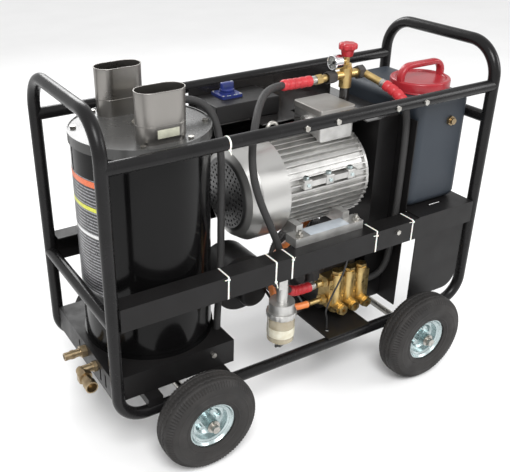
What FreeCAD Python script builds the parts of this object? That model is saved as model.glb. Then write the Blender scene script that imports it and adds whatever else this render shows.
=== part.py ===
"""Wheeled hot-water pressure washer: a tube cage that carries an oil-fired boiler, an electric
motor with a belt-driven triplex pump, a tank, a burner and the hoses between them.

Frame of the part, in millimetres: +Z up, Z = 0 on the ground under the tyres, +X from the boiler end
to the tank end, -Y is the service side with the pump's valves, +Y the back.  The origin is at the
middle of the whole part's footprint.
"""
import FreeCAD, Part
import math
import os

from FreeCAD import Vector

# ---------------------------------------------------------------- driving dimensions: tube cage
FRAME_L = 1140.0          # upright to upright along X, centre to centre
FRAME_W = 416.0           # upright to upright along Y, centre to centre
TUBE_D = 31.75            # 1 1/4 inch round tube
TUBE_WALL = 2.6
HANDLE_Z = 932.0          # centre of the end hoops' top bars
HANDLE_BEND_R = 92.0
FOOT_BEND_R = 72.0        # where the hoop legs turn into the bottom rails
TOP_RAIL_Z = 824.0
LEFT_CROSS_Z = 437.0
RIGHT_CROSS_Z = 733.0
CHANNEL_TOP_Z = 486.0
CHANNEL_H = 62.0
CHANNEL_FLANGE = 50.0
CHANNEL_T = 4.0

# ---------------------------------------------------------------- wheels and axles
TYRE_D = 265.0            # 4.10/3.50-4 pneumatic tyre
TYRE_W = 78.0
RIM_FLANGE_D = 127.0
RIM_W = 56.0
RIM_T = 3.0
WHEEL_U = (203.5, 920.0)  # axle places, measured from the left uprights
WHEEL_OUT = 75.0          # wheel's middle plane outside the rail's centreline
AXLE_D = 20.0
HUB_D = 34.0
HUB_L = 64.0
RUNNING_GAP = 0.05        # radial clearance of every running fit
SIDE_GAP = 0.4            # axial play beside turning parts
AXLE_END = 14.0           # axle that stands out past the hub
WASHER_D = 34.0
WASHER_T = 2.5
COTTER_D = 4.0

# ---------------------------------------------------------------- boiler
BOILER_U = 187.0
BOILER_D = 336.0
BOILER_WALL = 3.0
LID_TOP_Z = 826.0
LID_T = 3.0
LID_LIP_H = 22.0
LID_LIP_OUT = 4.0
FLUE_L = 120.0            # obround flue sleeve, along X
FLUE_W = 66.0
FLUE_H = 118.0
FLUE_WALL = 1.5
FLUE_IN = 56.0            # each flue's axis inside the boiler's edge
LID_SCREWS = 8

# ---------------------------------------------------------------- tray under the boiler
TRAY_U = (-2.0, 341.0)
TRAY_INSET = 20.0         # from the rails' centrelines
TRAY_TOP_Z = 266.0
TRAY_H = 69.0
TRAY_T = 3.0
BEARER_W = 40.0
PORT_HOLE_D = 21.0
TRAY_SLOTS_Y = (36.0, -104.0, -136.0)         # upright slots in the tray's left face
TRAY_SLOT_W = 8.0
TRAY_SLOT_H = 38.0
BULKHEAD_GAP = 6.0        # plate left of the tank
BULKHEAD_HALF_W = 172.0

# ---------------------------------------------------------------- burner beside the boiler
BURNER_Z = 330.0
BURNER_U = 452.0
BURNER_D = 168.0
BURNER_Y = (-48.0, 56.0)
BURNER_WALL = 3.0
BLAST_D = 92.0            # tube into the boiler
BLAST_IN = 24.0           # how far the blast tube enters the boiler
BURNER_MOTOR_D = 84.0
BURNER_MOTOR_L = 66.0
BURNER_SHAFT_D = 12.0
BLOWER_D = 138.0
BLOWER_W = 56.0
BLOWER_RING_W = 15.0      # the blower's rim ring, measured inwards
BLOWER_BLADES = 16
BLADE_W = 11.0

# ---------------------------------------------------------------- motor
MOTOR_RISE = 102.0        # shaft above the channels' tops
FIN_D = 256.0
FIN_H = 16.0
FIN_COUNT = 44
FIN_T = 3.2
MOTOR_U = (545.0, 806.0)  # finned housing
COVER_OVER = 5.0          # fan cover's outside beyond the fins
COVER_U = 424.0           # its perforated end
COVER_FACE_D = 184.0
COVER_TAPER_U = 462.0
COVER_WALL = 2.0
MOTOR_SHAFT_D = 28.0
END_BELL_L = 22.0
FAN_D = 196.0
FAN_L = 34.0
FAN_BLADES = 7
FOOT_U = (524.0, 746.0)
FOOT_IN = 20.0            # foot's outer edge inside the rail's centreline
FOOT_W = 44.0
FOOT_H = 24.0
FOOT_BOLT_IN = 10.0       # bolts from the foot's outer edge
FOOT_WASHER_D = 21.0
TERMINAL_U = (682.0, 795.0)
TERMINAL_W = 122.0
TERMINAL_H = 56.0
TERMINAL_LID_H = 16.0

# ---------------------------------------------------------------- pump and belt drive
PUMP_U = (690.0, 834.0)
PUMP_PLATE_U = (636.0, 786.0)
PUMP_PLATE_T = 5.0
CRANK_Z = 262.0
CRANK_D = 24.0
CRANKCASE_Y = (-92.0, 66.0)
CRANKCASE_H = 142.0
MANIFOLD_D = 62.0         # front to back
MANIFOLD_H = 118.0
VALVE_CAP_D = 34.0
VALVE_CAP_H = 16.0
PORT_Y = -122.0           # ports in the head's ends
DISCHARGE_Z = 300.0
DISCHARGE_REACH = 36.0
SUPPLY_Z = 243.0
SUPPLY_REACH = 56.0
BYPASS_Z = 262.0
BYPASS_REACH = 8.0
GUARD_U = (842.0, 912.0)
GUARD_HALF_W = 108.0
GUARD_END_CLEAR = 22.0    # between a pulley's rim and the guard's end wall
GUARD_WALL = 2.5
MOTOR_PULLEY_D = 100.0
PUMP_PULLEY_D = 150.0
PULLEY_W = 40.0
BELT_T = 9.0
BELT_W = 30.0
BELT_GAP = 0.4

# ---------------------------------------------------------------- tank
TANK_U = (924.0, 1110.0)
TANK_HALF_W = 168.0
TANK_H = 312.0
TANK_WALL = 5.0
TANK_R = 24.0
SHELF_T = 3.0
CAP_D = 164.0
CAP_H = 30.0
NECK_D = 140.0
NECK_H = 20.0
CAP_Y = -64.0

# ---------------------------------------------------------------- controls and small parts
DECK_U = 424.0
DECK_Z = 752.0
DECK_T = 3.0
DECK_FRONT_Y = 72.0
DECK_TONGUE_Y = 14.0      # front edge of the part over the motor
DECK_TONGUE_U = 548.0
CONTROL_U = (440.0, 640.0)
CONTROL_Y = (70.0, 186.0)
CONTROL_H = 48.0
SWITCH_U = 520.0
SWITCH_Y = 148.0
UNLOADER_U = 813.0
UNLOADER_Y = 10.0
UNLOADER_Z = 850.0
REGULATOR_FOOT = 34.0     # from the regulator's port axis down to its post
POST_D = 26.0
GAUGE_D = 40.0
GAUGE_L = 24.0
GAUGE_REACH = 26.0        # from the regulator's axis to the gauge's back
GAUGE_RISE = 38.5
GAUGE_ZERO = -135.0       # needle's turn from straight up at no pressure, about +X
FILTER_U = 480.0
FILTER_IN = 8.0           # filter's axis inside the near rail's centreline
FILTER_D = 74.0
FILTER_NECK_H = 110.0     # from the channel down to the bowl
FILTER_BOWL_H = 90.0
FILTER_HEAD_H = 34.0
DRAIN_L = 24.0
TANK_FITTING_U = 1042.0   # hexagonal plug in the tank's near face
TANK_FITTING_Z = 731.0
BOLT_D = 8.0              # M8 bolts of the cage, tray and lid
BOLT_FLATS = 13.0
BOLT_HEAD_H = 5.5
BOLT_SHANK = 12.0
RAIL_BOLT_U = (509.0, 600.0, 788.0, 882.0)    # in the near top rail
CHANNEL_PLATE_U = (770.0, 889.0)              # plate bolted to the near channel's face
CHANNEL_PLATE_H = 40.0
PANEL_U = 925.0                               # near edge of the lower corner panel
PANEL_RISE = 38.0                             # above the bottom rail
PANEL_R = 48.0
TIE_U = (298.0, 438.0, 488.0, 764.0, 892.0)   # ties round the near channel
RAIL_TIE_U = 300.0
TIE_T = 1.4
TIE_W = 4.5
HOSE_D = 19.0
GRIP_D = 30.0
SUPPLY_D = 20.0

# ---------------------------------------------------------------- fittings on the tray's left face
OUTLET_REACH = 62.0       # how far the outlet stands out from the left uprights' centreline
OUTLET_Y = -8.0
OUTLET_Z = 244.0
OUTLET_D = 21.0           # G1/2 male thread
OUTLET_THREAD_L = 18.0
INLET_Y = -76.0
INLET_Z = 240.0
INLET_REACH = 42.0        # swivel's axis out from the tray's face
INLET_D = 26.4            # G3/4 female thread
INLET_THREAD_L = 20.0
SWIVEL_BORE_D = 16.0

# ---------------------------------------------------------------- derived places
TUBE_R = TUBE_D / 2
AXLE_Z = TYRE_D / 2
BOTTOM_RAIL_Z = AXLE_Z + AXLE_D / 2 + TUBE_R
X_LEFT = (OUTLET_REACH - FRAME_L - TUBE_R) / 2     # centres the footprint on the origin
X_RIGHT = X_LEFT + FRAME_L
Y_NEAR = -FRAME_W / 2
Y_FAR = FRAME_W / 2
BOILER_R = BOILER_D / 2
FLUE_SPREAD = BOILER_R - FLUE_IN
MOTOR_Z = CHANNEL_TOP_Z + MOTOR_RISE
CORE_D = FIN_D - 2 * FIN_H
COVER_D = FIN_D + 2 * COVER_OVER
FILTER_Y = Y_NEAR + FILTER_IN
SHELF_Z = CHANNEL_TOP_Z
TANK_BOTTOM_Z = SHELF_Z + SHELF_T
TANK_TOP_Z = TANK_BOTTOM_Z + TANK_H
PUMP_PLATE_Z = BOTTOM_RAIL_Z + TUBE_R


def along(u):
    """X of a place measured from the left uprights."""
    return X_LEFT + u


# ---------------------------------------------------------------- solids
def block(x0, x1, y0, y1, z0, z1):
    return Part.makeBox(x1 - x0, y1 - y0, z1 - z0, Vector(x0, y0, z0))


def rounded_block(x0, x1, y0, y1, z0, z1, radius, edges="all"):
    """A block with rounded edges: all of them, or only those along Z."""
    solid = block(x0, x1, y0, y1, z0, z1)
    if edges == "all":
        chosen = solid.Edges
    else:
        chosen = [e for e in solid.Edges if abs(e.tangentAt(e.FirstParameter).z) > 0.9]
    return solid.makeFillet(radius, chosen)


def rod(start, direction, diameter, length):
    return Part.makeCylinder(diameter / 2, length, Vector(*start), Vector(*direction))


def ring(start, direction, outer_d, inner_d, length):
    return rod(start, direction, outer_d, length).cut(rod(start, direction, inner_d, length))


def turned(profile, origin, direction):
    """Turn a closed outline of (along, radius) points about an axis."""
    axis = Vector(*direction).normalize()
    side = Vector(0, 0, 1) if abs(axis.z) < 0.9 else Vector(1, 0, 0)
    side = (side - axis * side.dot(axis)).normalize()
    base = Vector(*origin)
    points = [base + axis * a + side * r for a, r in profile]
    wire = Part.makePolygon(points + [points[0]])
    return Part.Face(wire).revolve(base, axis, 360)


def hexagon(start, direction, flats, length):
    """A hexagonal bar, by its width across flats."""
    axis = Vector(*direction).normalize()
    side = Vector(0, 0, 1) if abs(axis.z) < 0.9 else Vector(1, 0, 0)
    side = (side - axis * side.dot(axis)).normalize()
    other = axis.cross(side)
    corner = flats / math.sqrt(3)
    points = []
    for k in range(6):
        turn = math.radians(60 * k)
        points.append(Vector(*start) + side * corner * math.cos(turn) + other * corner * math.sin(turn))
    return Part.Face(Part.makePolygon(points + [points[0]])).extrude(axis * length)


def obround_prism(cx, cy, z0, z1, length, width):
    """A vertical prism whose section is two half circles joined by straights along X."""
    half = (length - width) / 2
    r = width / 2
    a, b = Vector(cx - half, cy - r, z0), Vector(cx + half, cy - r, z0)
    c, d = Vector(cx + half, cy + r, z0), Vector(cx - half, cy + r, z0)
    right = Part.Arc(b, Vector(cx + half + r, cy, z0), c).toShape()
    left = Part.Arc(d, Vector(cx - half - r, cy, z0), a).toShape()
    wire = Part.Wire([Part.makeLine(a, b), right, Part.makeLine(c, d), left])
    return Part.Face(wire).extrude(Vector(0, 0, z1 - z0))


# ---------------------------------------------------------------- bent tubes and hoses
def bent_path(points, radii):
    """A wire of straight runs joined by tangent arcs, with one radius for each inner point."""
    points = [Vector(*p) for p in points]
    edges = []
    start = points[0]
    for before, corner, after, radius in zip(points, points[1:], points[2:], radii):
        back = (before - corner).normalize()
        on = (after - corner).normalize()
        half_turn = (math.pi - back.getAngle(on)) / 2
        reach = radius * math.tan(half_turn)
        enter, leave = corner + back * reach, corner + on * reach
        to_centre = (back + on).normalize()
        middle = corner + to_centre * (radius / math.cos(half_turn) - radius)
        if (enter - start).Length > 1e-6:
            edges.append(Part.LineSegment(start, enter).toShape())
        edges.append(Part.Arc(enter, middle, leave).toShape())
        start = leave
    edges.append(Part.LineSegment(start, points[-1]).toShape())
    return Part.Wire(edges)


def pipe(path, diameter):
    first = path.OrderedEdges[0]
    tangent = first.tangentAt(first.FirstParameter)
    start = first.valueAt(first.FirstParameter)
    section = Part.Wire(Part.makeCircle(diameter / 2, start, tangent))
    return path.makePipeShell([section], True, False)


def hose_radii(points):
    """The largest arcs that a route's runs allow, one for each inner point."""
    radii = []
    for before, corner, after in zip(points, points[1:], points[2:]):
        back, on = Vector(*before) - Vector(*corner), Vector(*after) - Vector(*corner)
        half_turn = (math.pi - back.getAngle(on)) / 2
        radii.append(0.45 * min(back.Length, on.Length) / math.tan(half_turn))
    return radii


def hose(name, points, diameter):
    """A round hose; its volume is compared with its section times its length."""
    radii = hose_radii(points)
    path = bent_path(points, radii)
    solid = pipe(path, diameter)
    expected = math.pi * diameter ** 2 / 4 * path.Length
    print(name, "length", round(path.Length), "mm, tightest radius", round(min(radii)),
          "volume ratio", round(solid.Volume / expected, 4))
    return solid


def sleeve(points, runs, outer_d, inner_d):
    """A soft sleeve that follows a hose from its start to the middle of one of its runs."""
    stop = (Vector(*points[runs]) + Vector(*points[runs - 1])) * 0.5
    path = bent_path([*points[:runs], tuple(stop)], hose_radii(points)[:runs - 1])
    return pipe(path, outer_d).cut(pipe(path, inner_d))


# ---------------------------------------------------------------- tube cage
def hoop_points(x_end, x_mid):
    return [(x_mid, Y_NEAR, BOTTOM_RAIL_Z), (x_end, Y_NEAR, BOTTOM_RAIL_Z), (x_end, Y_NEAR, HANDLE_Z),
            (x_end, Y_FAR, HANDLE_Z), (x_end, Y_FAR, BOTTOM_RAIL_Z), (x_mid, Y_FAR, BOTTOM_RAIL_Z)]


def end_hoop(x_end, hollow=True):
    """One end of the cage: up from a bottom rail, over the handle and down to the other rail."""
    bends = [FOOT_BEND_R, HANDLE_BEND_R, HANDLE_BEND_R, FOOT_BEND_R]
    path = bent_path(hoop_points(x_end, along(FRAME_L / 2)), bends)
    outside = pipe(path, TUBE_D)
    return outside.cut(pipe(path, TUBE_D - 2 * TUBE_WALL)) if hollow else outside


def between_hoops(solid):
    """Cope a cross member's ends to the tubes it is welded to."""
    return solid.cut(end_hoop(X_LEFT, hollow=False)).cut(end_hoop(X_RIGHT, hollow=False))


def top_rails():
    bore = TUBE_D - 2 * TUBE_WALL
    rails = [between_hoops(ring((X_LEFT, y, TOP_RAIL_Z), (1, 0, 0), TUBE_D, bore, FRAME_L))
             for y in (Y_NEAR, Y_FAR)]
    return Part.makeCompound([s for rail in rails for s in rail.Solids])


def cross_tubes():
    bore = TUBE_D - 2 * TUBE_WALL
    tubes = [between_hoops(ring((x, Y_NEAR, z), (0, 1, 0), TUBE_D, bore, FRAME_W))
             for x, z in ((X_LEFT, LEFT_CROSS_Z), (X_RIGHT, RIGHT_CROSS_Z))]
    return Part.makeCompound([s for tube in tubes for s in tube.Solids])


def mid_channel(side):
    """A C-channel flush with the cage's outside, flanges inwards; side is -1 near, +1 far."""
    outer = side * (FRAME_W / 2 + TUBE_R)
    z0, z1 = CHANNEL_TOP_Z - CHANNEL_H, CHANNEL_TOP_Z
    x0, x1 = X_LEFT + TUBE_R - 2, X_RIGHT - TUBE_R + 2
    y0, y1 = sorted((outer, outer - side * CHANNEL_FLANGE))
    section = block(x0, x1, y0, y1, z0, z1)
    h0, h1 = sorted((outer - side * CHANNEL_T, outer - side * (CHANNEL_FLANGE + 1)))
    hollow = block(x0 - 1, x1 + 1, h0, h1, z0 + CHANNEL_T, z1 - CHANNEL_T)
    return between_hoops(section.cut(hollow))


# ---------------------------------------------------------------- sheet-metal trays, plates and panels
def tray():
    """A folded pan turned upside down on two bearers that cross the bottom rails."""
    x0, x1 = along(TRAY_U[0]), along(TRAY_U[1])
    y0, y1 = Y_NEAR + TRAY_INSET, Y_FAR - TRAY_INSET
    z0, z1 = TRAY_TOP_Z - TRAY_H, TRAY_TOP_Z
    pan = block(x0, x1, y0, y1, z0, z1)
    pan = pan.cut(block(x0 + TRAY_T, x1 - TRAY_T, y0 + TRAY_T, y1 - TRAY_T, z0 - 1, z1 - TRAY_T))
    reach = TUBE_R * 0.6
    for u in (FOOT_BEND_R + BEARER_W / 2 + 4, TRAY_U[1] - 50):
        bearer = block(along(u) - BEARER_W / 2, along(u) + BEARER_W / 2,
                       Y_NEAR - reach, Y_FAR + reach, PUMP_PLATE_Z, z0)
        pan = pan.fuse(bearer)
    pan = pan.fuse(block(x0, x0 + BEARER_W, y0, y1, z0, z0 + TRAY_T))
    pan = pan.fuse(block(x1 - BEARER_W, x1, y0, y1, z0, z0 + TRAY_T)).removeSplitter()
    for y, z in ((OUTLET_Y, OUTLET_Z), (INLET_Y, INLET_Z)):
        pan = pan.cut(rod((x0 - 5, y, z), (1, 0, 0), PORT_HOLE_D, TRAY_T + 10))
    for y in TRAY_SLOTS_Y:
        slot_z = (z0 + z1) / 2
        pan = pan.cut(block(x0 - 1, x0 + TRAY_T + 1, y - TRAY_SLOT_W / 2, y + TRAY_SLOT_W / 2,
                            slot_z - TRAY_SLOT_H / 2, slot_z + TRAY_SLOT_H / 2))
    return pan


def pump_plate():
    x0, x1 = along(PUMP_PLATE_U[0]), along(PUMP_PLATE_U[1])
    reach = TUBE_R * 0.6
    plate = block(x0, x1, Y_NEAR - reach, Y_FAR + reach, PUMP_PLATE_Z, PUMP_PLATE_Z + PUMP_PLATE_T)
    for y in (Y_NEAR + 26, Y_FAR - 26):
        plate = plate.cut(rod((x0 + 22, y, PUMP_PLATE_Z - 1), (0, 0, 1), 11, PUMP_PLATE_T + 2))
    return plate


def tank_shelf():
    """The shelf across the channels under the tank, with a cut-out at its near edge, and the
    plate bolted to the near channel's face."""
    x0, x1 = along(TANK_U[0] - 6), X_RIGHT - TUBE_R
    shelf = block(x0, x1, Y_NEAR - TUBE_R, Y_FAR + TUBE_R, SHELF_Z, SHELF_Z + SHELF_T)
    shelf = between_hoops(shelf)
    slot_x = (x0 + x1) / 2
    shelf = shelf.cut(block(slot_x - 22, slot_x + 22, Y_NEAR + 26, Y_NEAR + 36, SHELF_Z - 1, SHELF_Z + 9))
    face = Y_NEAR - TUBE_R
    u0, u1 = CHANNEL_PLATE_U
    z0, z1 = CHANNEL_TOP_Z - CHANNEL_PLATE_H, CHANNEL_TOP_Z
    plate = block(along(u0), along(u1), face - SHELF_T, face, z0, z1)
    return [shelf, plate]


def bulkhead():
    """The upright plate between the belt guard and the tank, with holes for the hose and the line
    that go to the tank."""
    x1 = along(TANK_U[0] - BULKHEAD_GAP)
    plate = block(x1 - SHELF_T, x1, -BULKHEAD_HALF_W, BULKHEAD_HALF_W, PUMP_PLATE_Z, DECK_Z)
    for points, hole_d in ((SUPPLY_ROUTE, SUPPLY_D + 4), (FUEL_ROUTE, 12)):
        y, z = points[-1][1:]
        plate = plate.cut(rod((x1 - SHELF_T - 1, y, z), (1, 0, 0), hole_d, SHELF_T + 2))
    return plate


def side_panel():
    """The flat panel that closes the near lower corner of the cage below the channel."""
    x0, x1 = along(PANEL_U), X_RIGHT - TUBE_R - 15
    z0, z1 = BOTTOM_RAIL_Z + TUBE_R + PANEL_RISE, CHANNEL_TOP_Z - CHANNEL_H
    y0 = Y_NEAR - 7
    panel = block(x0, x1, y0, y0 + 3, z0, z1)
    corner = [e for e in panel.Edges if abs(e.tangentAt(e.FirstParameter).y) > 0.9
              and e.CenterOfMass.x > (x0 + x1) / 2 and e.CenterOfMass.z < (z0 + z1) / 2]
    return panel.makeFillet(PANEL_R, corner)


# ---------------------------------------------------------------- running gear
def axle(u):
    """A cross shaft under the bottom rails, with its weld saddles, inner collars, end washers
    and cotter pins."""
    x = along(u)
    hub_in = FRAME_W / 2 + WHEEL_OUT - HUB_L / 2
    hub_out = hub_in + HUB_L
    half = hub_out + SIDE_GAP + WASHER_T + AXLE_END
    shaft = rod((x, -half, AXLE_Z), (0, 1, 0), AXLE_D, 2 * half)
    solids = []
    for side in (-1, 1):
        saddle = block(x - 12, x + 12, side * FRAME_W / 2 - 15, side * FRAME_W / 2 + 15,
                       AXLE_Z, BOTTOM_RAIL_Z)
        rail = rod((x - 40, side * FRAME_W / 2, BOTTOM_RAIL_Z), (1, 0, 0), TUBE_D, 80)
        shaft = shaft.fuse(saddle.cut(rail))
        collar_start = min(side * (hub_in - SIDE_GAP - 8), side * (hub_in - SIDE_GAP))
        shaft = shaft.fuse(rod((x, collar_start, AXLE_Z), (0, 1, 0), HUB_D, 8))
        washer_start = min(side * (hub_out + SIDE_GAP), side * (hub_out + SIDE_GAP + WASHER_T))
        washer = ring((x, washer_start, AXLE_Z), (0, 1, 0), WASHER_D, AXLE_D, WASHER_T)
        pin_y = side * (hub_out + SIDE_GAP + WASHER_T + COTTER_D / 2 + 0.5)
        pin = rod((x, pin_y, AXLE_Z - 16), (0, 0, 1), COTTER_D, 32)
        shaft = shaft.cut(pin)
        solids += [washer, pin]
    return [shaft.removeSplitter()] + solids


def axles():
    return Part.makeCompound([s for u in WHEEL_U for s in axle(u)])


def rim(u, side):
    """A pressed two-piece rim: barrel with rolled flanges, dished disc, hub tube and five bolts."""
    centre = (along(u), side * (FRAME_W / 2 + WHEEL_OUT), AXLE_Z)
    out = (0, side, 0)
    w, r = RIM_W / 2, RIM_FLANGE_D / 2
    well = r - 12
    barrel = [(-w, r), (-w, r - RIM_T), (-w + 5, r - RIM_T - 4), (-w + 9, well - RIM_T),
              (w - 9, well - RIM_T), (w - 5, r - RIM_T - 4), (w, r - RIM_T), (w, r),
              (w - 4, r), (w - 6, well + 2), (w - 10, well),
              (-w + 10, well), (-w + 6, well + 2), (-w + 4, r)]
    disc = [(-2, HUB_D / 2 - 1), (-2, 34), (5, 40), (5, well - RIM_T + 0.5), (8.5, well - RIM_T + 0.5),
            (8.5, 38), (1.5, 32), (1.5, HUB_D / 2 - 1)]
    body = turned(barrel, centre, out).fuse(turned(disc, centre, out))
    start = (centre[0], centre[1] - side * HUB_L / 2, centre[2])
    body = body.fuse(rod(start, out, HUB_D, HUB_L))
    body = body.cut(rod(start, out, AXLE_D + 2 * RUNNING_GAP, HUB_L))
    for k in range(5):
        turn = math.radians(90 + 72 * k)
        x, z = centre[0] + 27 * math.sin(turn), centre[2] + 27 * math.cos(turn)
        body = body.fuse(hexagon((x, centre[1] + side * 1.0, z), out, 10, 7))
    return body.removeSplitter()


def tyre(u, side):
    """A pneumatic tyre's section, closed against the rim's well and flanges."""
    centre = (along(u), side * (FRAME_W / 2 + WHEEL_OUT), AXLE_Z)
    r_out, r_flange = TYRE_D / 2, RIM_FLANGE_D / 2
    well = r_flange - 12
    half, bead = TYRE_W / 2, RIM_W / 2
    outline = []
    for k in range(0, 13):                      # tread and shoulders, as a squared-off ellipse
        turn = math.radians(-90 + 15 * k)
        power = 0.62
        across = half * math.copysign(abs(math.sin(turn)) ** power, math.sin(turn))
        up = abs(math.cos(turn)) ** power
        outline.append((across, (r_flange + 22) + (r_out - r_flange - 22) * up))
    outline += [(half - 3, r_flange + 8), (bead + 4, r_flange + 0.6), (bead - 4, r_flange + 0.6),
                (bead - 6, well + 2), (bead - 10, well), (-bead + 10, well), (-bead + 6, well + 2),
                (-bead + 4, r_flange + 0.6), (-bead - 4, r_flange + 0.6), (-half + 3, r_flange + 8)]
    return turned(outline, centre, (0, side, 0))


# ---------------------------------------------------------------- boiler
def boiler_shell():
    x = along(BOILER_U)
    height = LID_TOP_Z - LID_T - TRAY_TOP_Z
    inner = BOILER_D - 2 * BOILER_WALL
    shell = ring((x, 0, TRAY_TOP_Z), (0, 0, 1), BOILER_D, inner, height)
    floor = rod((x, 0, TRAY_TOP_Z), (0, 0, 1), BOILER_D, BOILER_WALL)
    shell = shell.fuse(floor)
    skirt = ring((x, 0, TRAY_TOP_Z), (0, 0, 1), BOILER_D + 2 * LID_LIP_OUT, BOILER_D, 10)
    shell = shell.fuse(skirt).removeSplitter()
    return shell.cut(rod((x, 0, BURNER_Z), (1, 0, 0), BLAST_D, BOILER_D))


def flue_places():
    return [(along(BOILER_U), side * FLUE_SPREAD) for side in (1, -1)]


def boiler_lid():
    """The lid: a flat plate with a rolled lip over the shell's edge and two flue openings."""
    x = along(BOILER_U)
    top = LID_TOP_Z
    outer = BOILER_D + 2 * LID_LIP_OUT
    lid = rod((x, 0, top - LID_T), (0, 0, 1), outer, LID_T)
    lip = ring((x, 0, top - LID_LIP_H), (0, 0, 1), outer, BOILER_D + 0.4, LID_LIP_H + 2.5)
    rim_bead = ring((x, 0, top), (0, 0, 1), outer, outer - 7, 2.5)
    lid = lid.fuse(lip).fuse(rim_bead)
    lid = lid.cut(rod((x, 0, top), (0, 0, 1), outer - 7, 3)).removeSplitter()
    for fx, fy in flue_places():
        lid = lid.cut(obround_prism(fx, fy, top - 10, top + 10, FLUE_L - 24, FLUE_W - 24))
    return lid


def flue(index):
    """An obround exhaust sleeve on the lid, with a narrower collar at its foot."""
    fx, fy = flue_places()[index]
    z0, z1 = LID_TOP_Z, LID_TOP_Z + FLUE_H
    skin = obround_prism(fx, fy, z0 + 8, z1, FLUE_L, FLUE_W)
    skin = skin.cut(obround_prism(fx, fy, z0, z1 + 1, FLUE_L - 2 * FLUE_WALL, FLUE_W - 2 * FLUE_WALL))
    neck_l, neck_w = FLUE_L - 2 * FLUE_WALL, FLUE_W - 2 * FLUE_WALL
    neck = obround_prism(fx, fy, z0, z0 + 30, neck_l, neck_w)
    neck = neck.cut(obround_prism(fx, fy, z0 - 1, z0 + 31, neck_l - 4, neck_w - 4))
    return skin.fuse(neck).removeSplitter()


def lid_fitting():
    """The coil's outlet through the lid: flange, hexagon and an elbow with its thermostat pocket."""
    x, y, z = along(BOILER_U + 12), 6.0, LID_TOP_Z
    body = rod((x, y, z), (0, 0, 1), 54, 5).fuse(hexagon((x, y, z + 5), (0, 0, 1), 32, 22))
    body = body.fuse(rod((x, y, z + 27), (0, 0, 1), 24, 22))
    body = body.fuse(rod((x - 14, y, z + 46), (1, 0, 0), 26, 46))
    return body.removeSplitter()


def bolt(x, y, z, direction):
    """A hexagon-head bolt whose head sits on a face at (x, y, z)."""
    start = Vector(x, y, z) - Vector(*direction) * BOLT_SHANK
    head = hexagon((x, y, z), direction, BOLT_FLATS, BOLT_HEAD_H)
    return head.fuse(rod(tuple(start), direction, BOLT_D, BOLT_SHANK)).removeSplitter()


def bolt_places():
    """(x, y, z, direction) of every M8 hexagon bolt on the cage, tray and lid."""
    places = []
    for u in RAIL_BOLT_U:
        places.append((along(u), Y_NEAR - TUBE_R, TOP_RAIL_Z, (0, -1, 0)))
    places.append((along(839), Y_NEAR - TUBE_R - SHELF_T, CHANNEL_TOP_Z - CHANNEL_PLATE_H / 2, (0, -1, 0)))
    places.append((along(TRAY_U[1] - 62), Y_NEAR + TRAY_INSET, TRAY_TOP_Z - 26, (0, -1, 0)))
    for k in range(LID_SCREWS):
        turn = 2 * math.pi * (k + 0.5) / LID_SCREWS
        r = BOILER_R - 12
        places.append((along(BOILER_U) + r * math.cos(turn), r * math.sin(turn), LID_TOP_Z, (0, 0, 1)))
    return places


def hex_bolts():
    return [bolt(*place) for place in bolt_places()]


def bolt_holes(solid):
    """Drill a solid for the bolts of the cage, tray and lid."""
    for x, y, z, way in bolt_places():
        start = Vector(x, y, z) - Vector(*way) * BOLT_SHANK
        solid = solid.cut(rod(tuple(start), way, BOLT_D, BOLT_SHANK))
    return solid


# ---------------------------------------------------------------- burner
def burner_housing():
    """A drum-shaped fan housing with its blast tube into the boiler's side."""
    x, (y0, y1) = along(BURNER_U), BURNER_Y
    t = BURNER_WALL
    drum = rod((x, y0, BURNER_Z), (0, 1, 0), BURNER_D, y1 - y0)
    cavity = rod((x, y0 + t, BURNER_Z), (0, 1, 0), BURNER_D - 2 * t, y1 - y0 - 2 * t)
    tube_start = along(BOILER_U) + BOILER_R - BLAST_IN
    tube_l = x - BURNER_D / 2 + 18 - tube_start
    tube = rod((tube_start, 0, BURNER_Z), (1, 0, 0), BLAST_D, tube_l)
    tube_bore = rod((tube_start - 1, 0, BURNER_Z), (1, 0, 0), BLAST_D - 2 * t, tube_l + 12)
    housing = drum.fuse(tube).cut(cavity).cut(tube_bore)
    air_inlet = ring((x, y1 - t - 1, BURNER_Z), (0, 1, 0), 90, 34, t + 2)
    for k in range(4):
        turn = 45 + 90 * k
        spoke = block(x + 10, x + 60, y1 - t - 2, y1 + 2, BURNER_Z - 6, BURNER_Z + 6)
        spoke.rotate(Vector(x, 0, BURNER_Z), Vector(0, 1, 0), turn)
        air_inlet = air_inlet.cut(spoke)
    housing = housing.cut(air_inlet)
    return housing.cut(rod((x, y0 - 1, BURNER_Z), (0, 1, 0), BURNER_SHAFT_D + 12, t + 2))


def burner_motor():
    """The blower's motor on the housing's near side, with its shaft's bore."""
    x, y = along(BURNER_U), BURNER_Y[0]
    body = rod((x, y - 6, BURNER_Z), (0, 1, 0), BURNER_MOTOR_D + 14, 6)
    body = body.fuse(rod((x, y - BURNER_MOTOR_L, BURNER_Z), (0, 1, 0), BURNER_MOTOR_D, BURNER_MOTOR_L - 6))
    end = [e for e in body.Edges if abs(e.CenterOfMass.y - (y - BURNER_MOTOR_L)) < 0.1]
    body = body.makeFillet(10, end)
    bore_l = 40
    return body.cut(rod((x, y - bore_l, BURNER_Z), (0, 1, 0), BURNER_SHAFT_D + 2 * RUNNING_GAP, bore_l))


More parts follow.
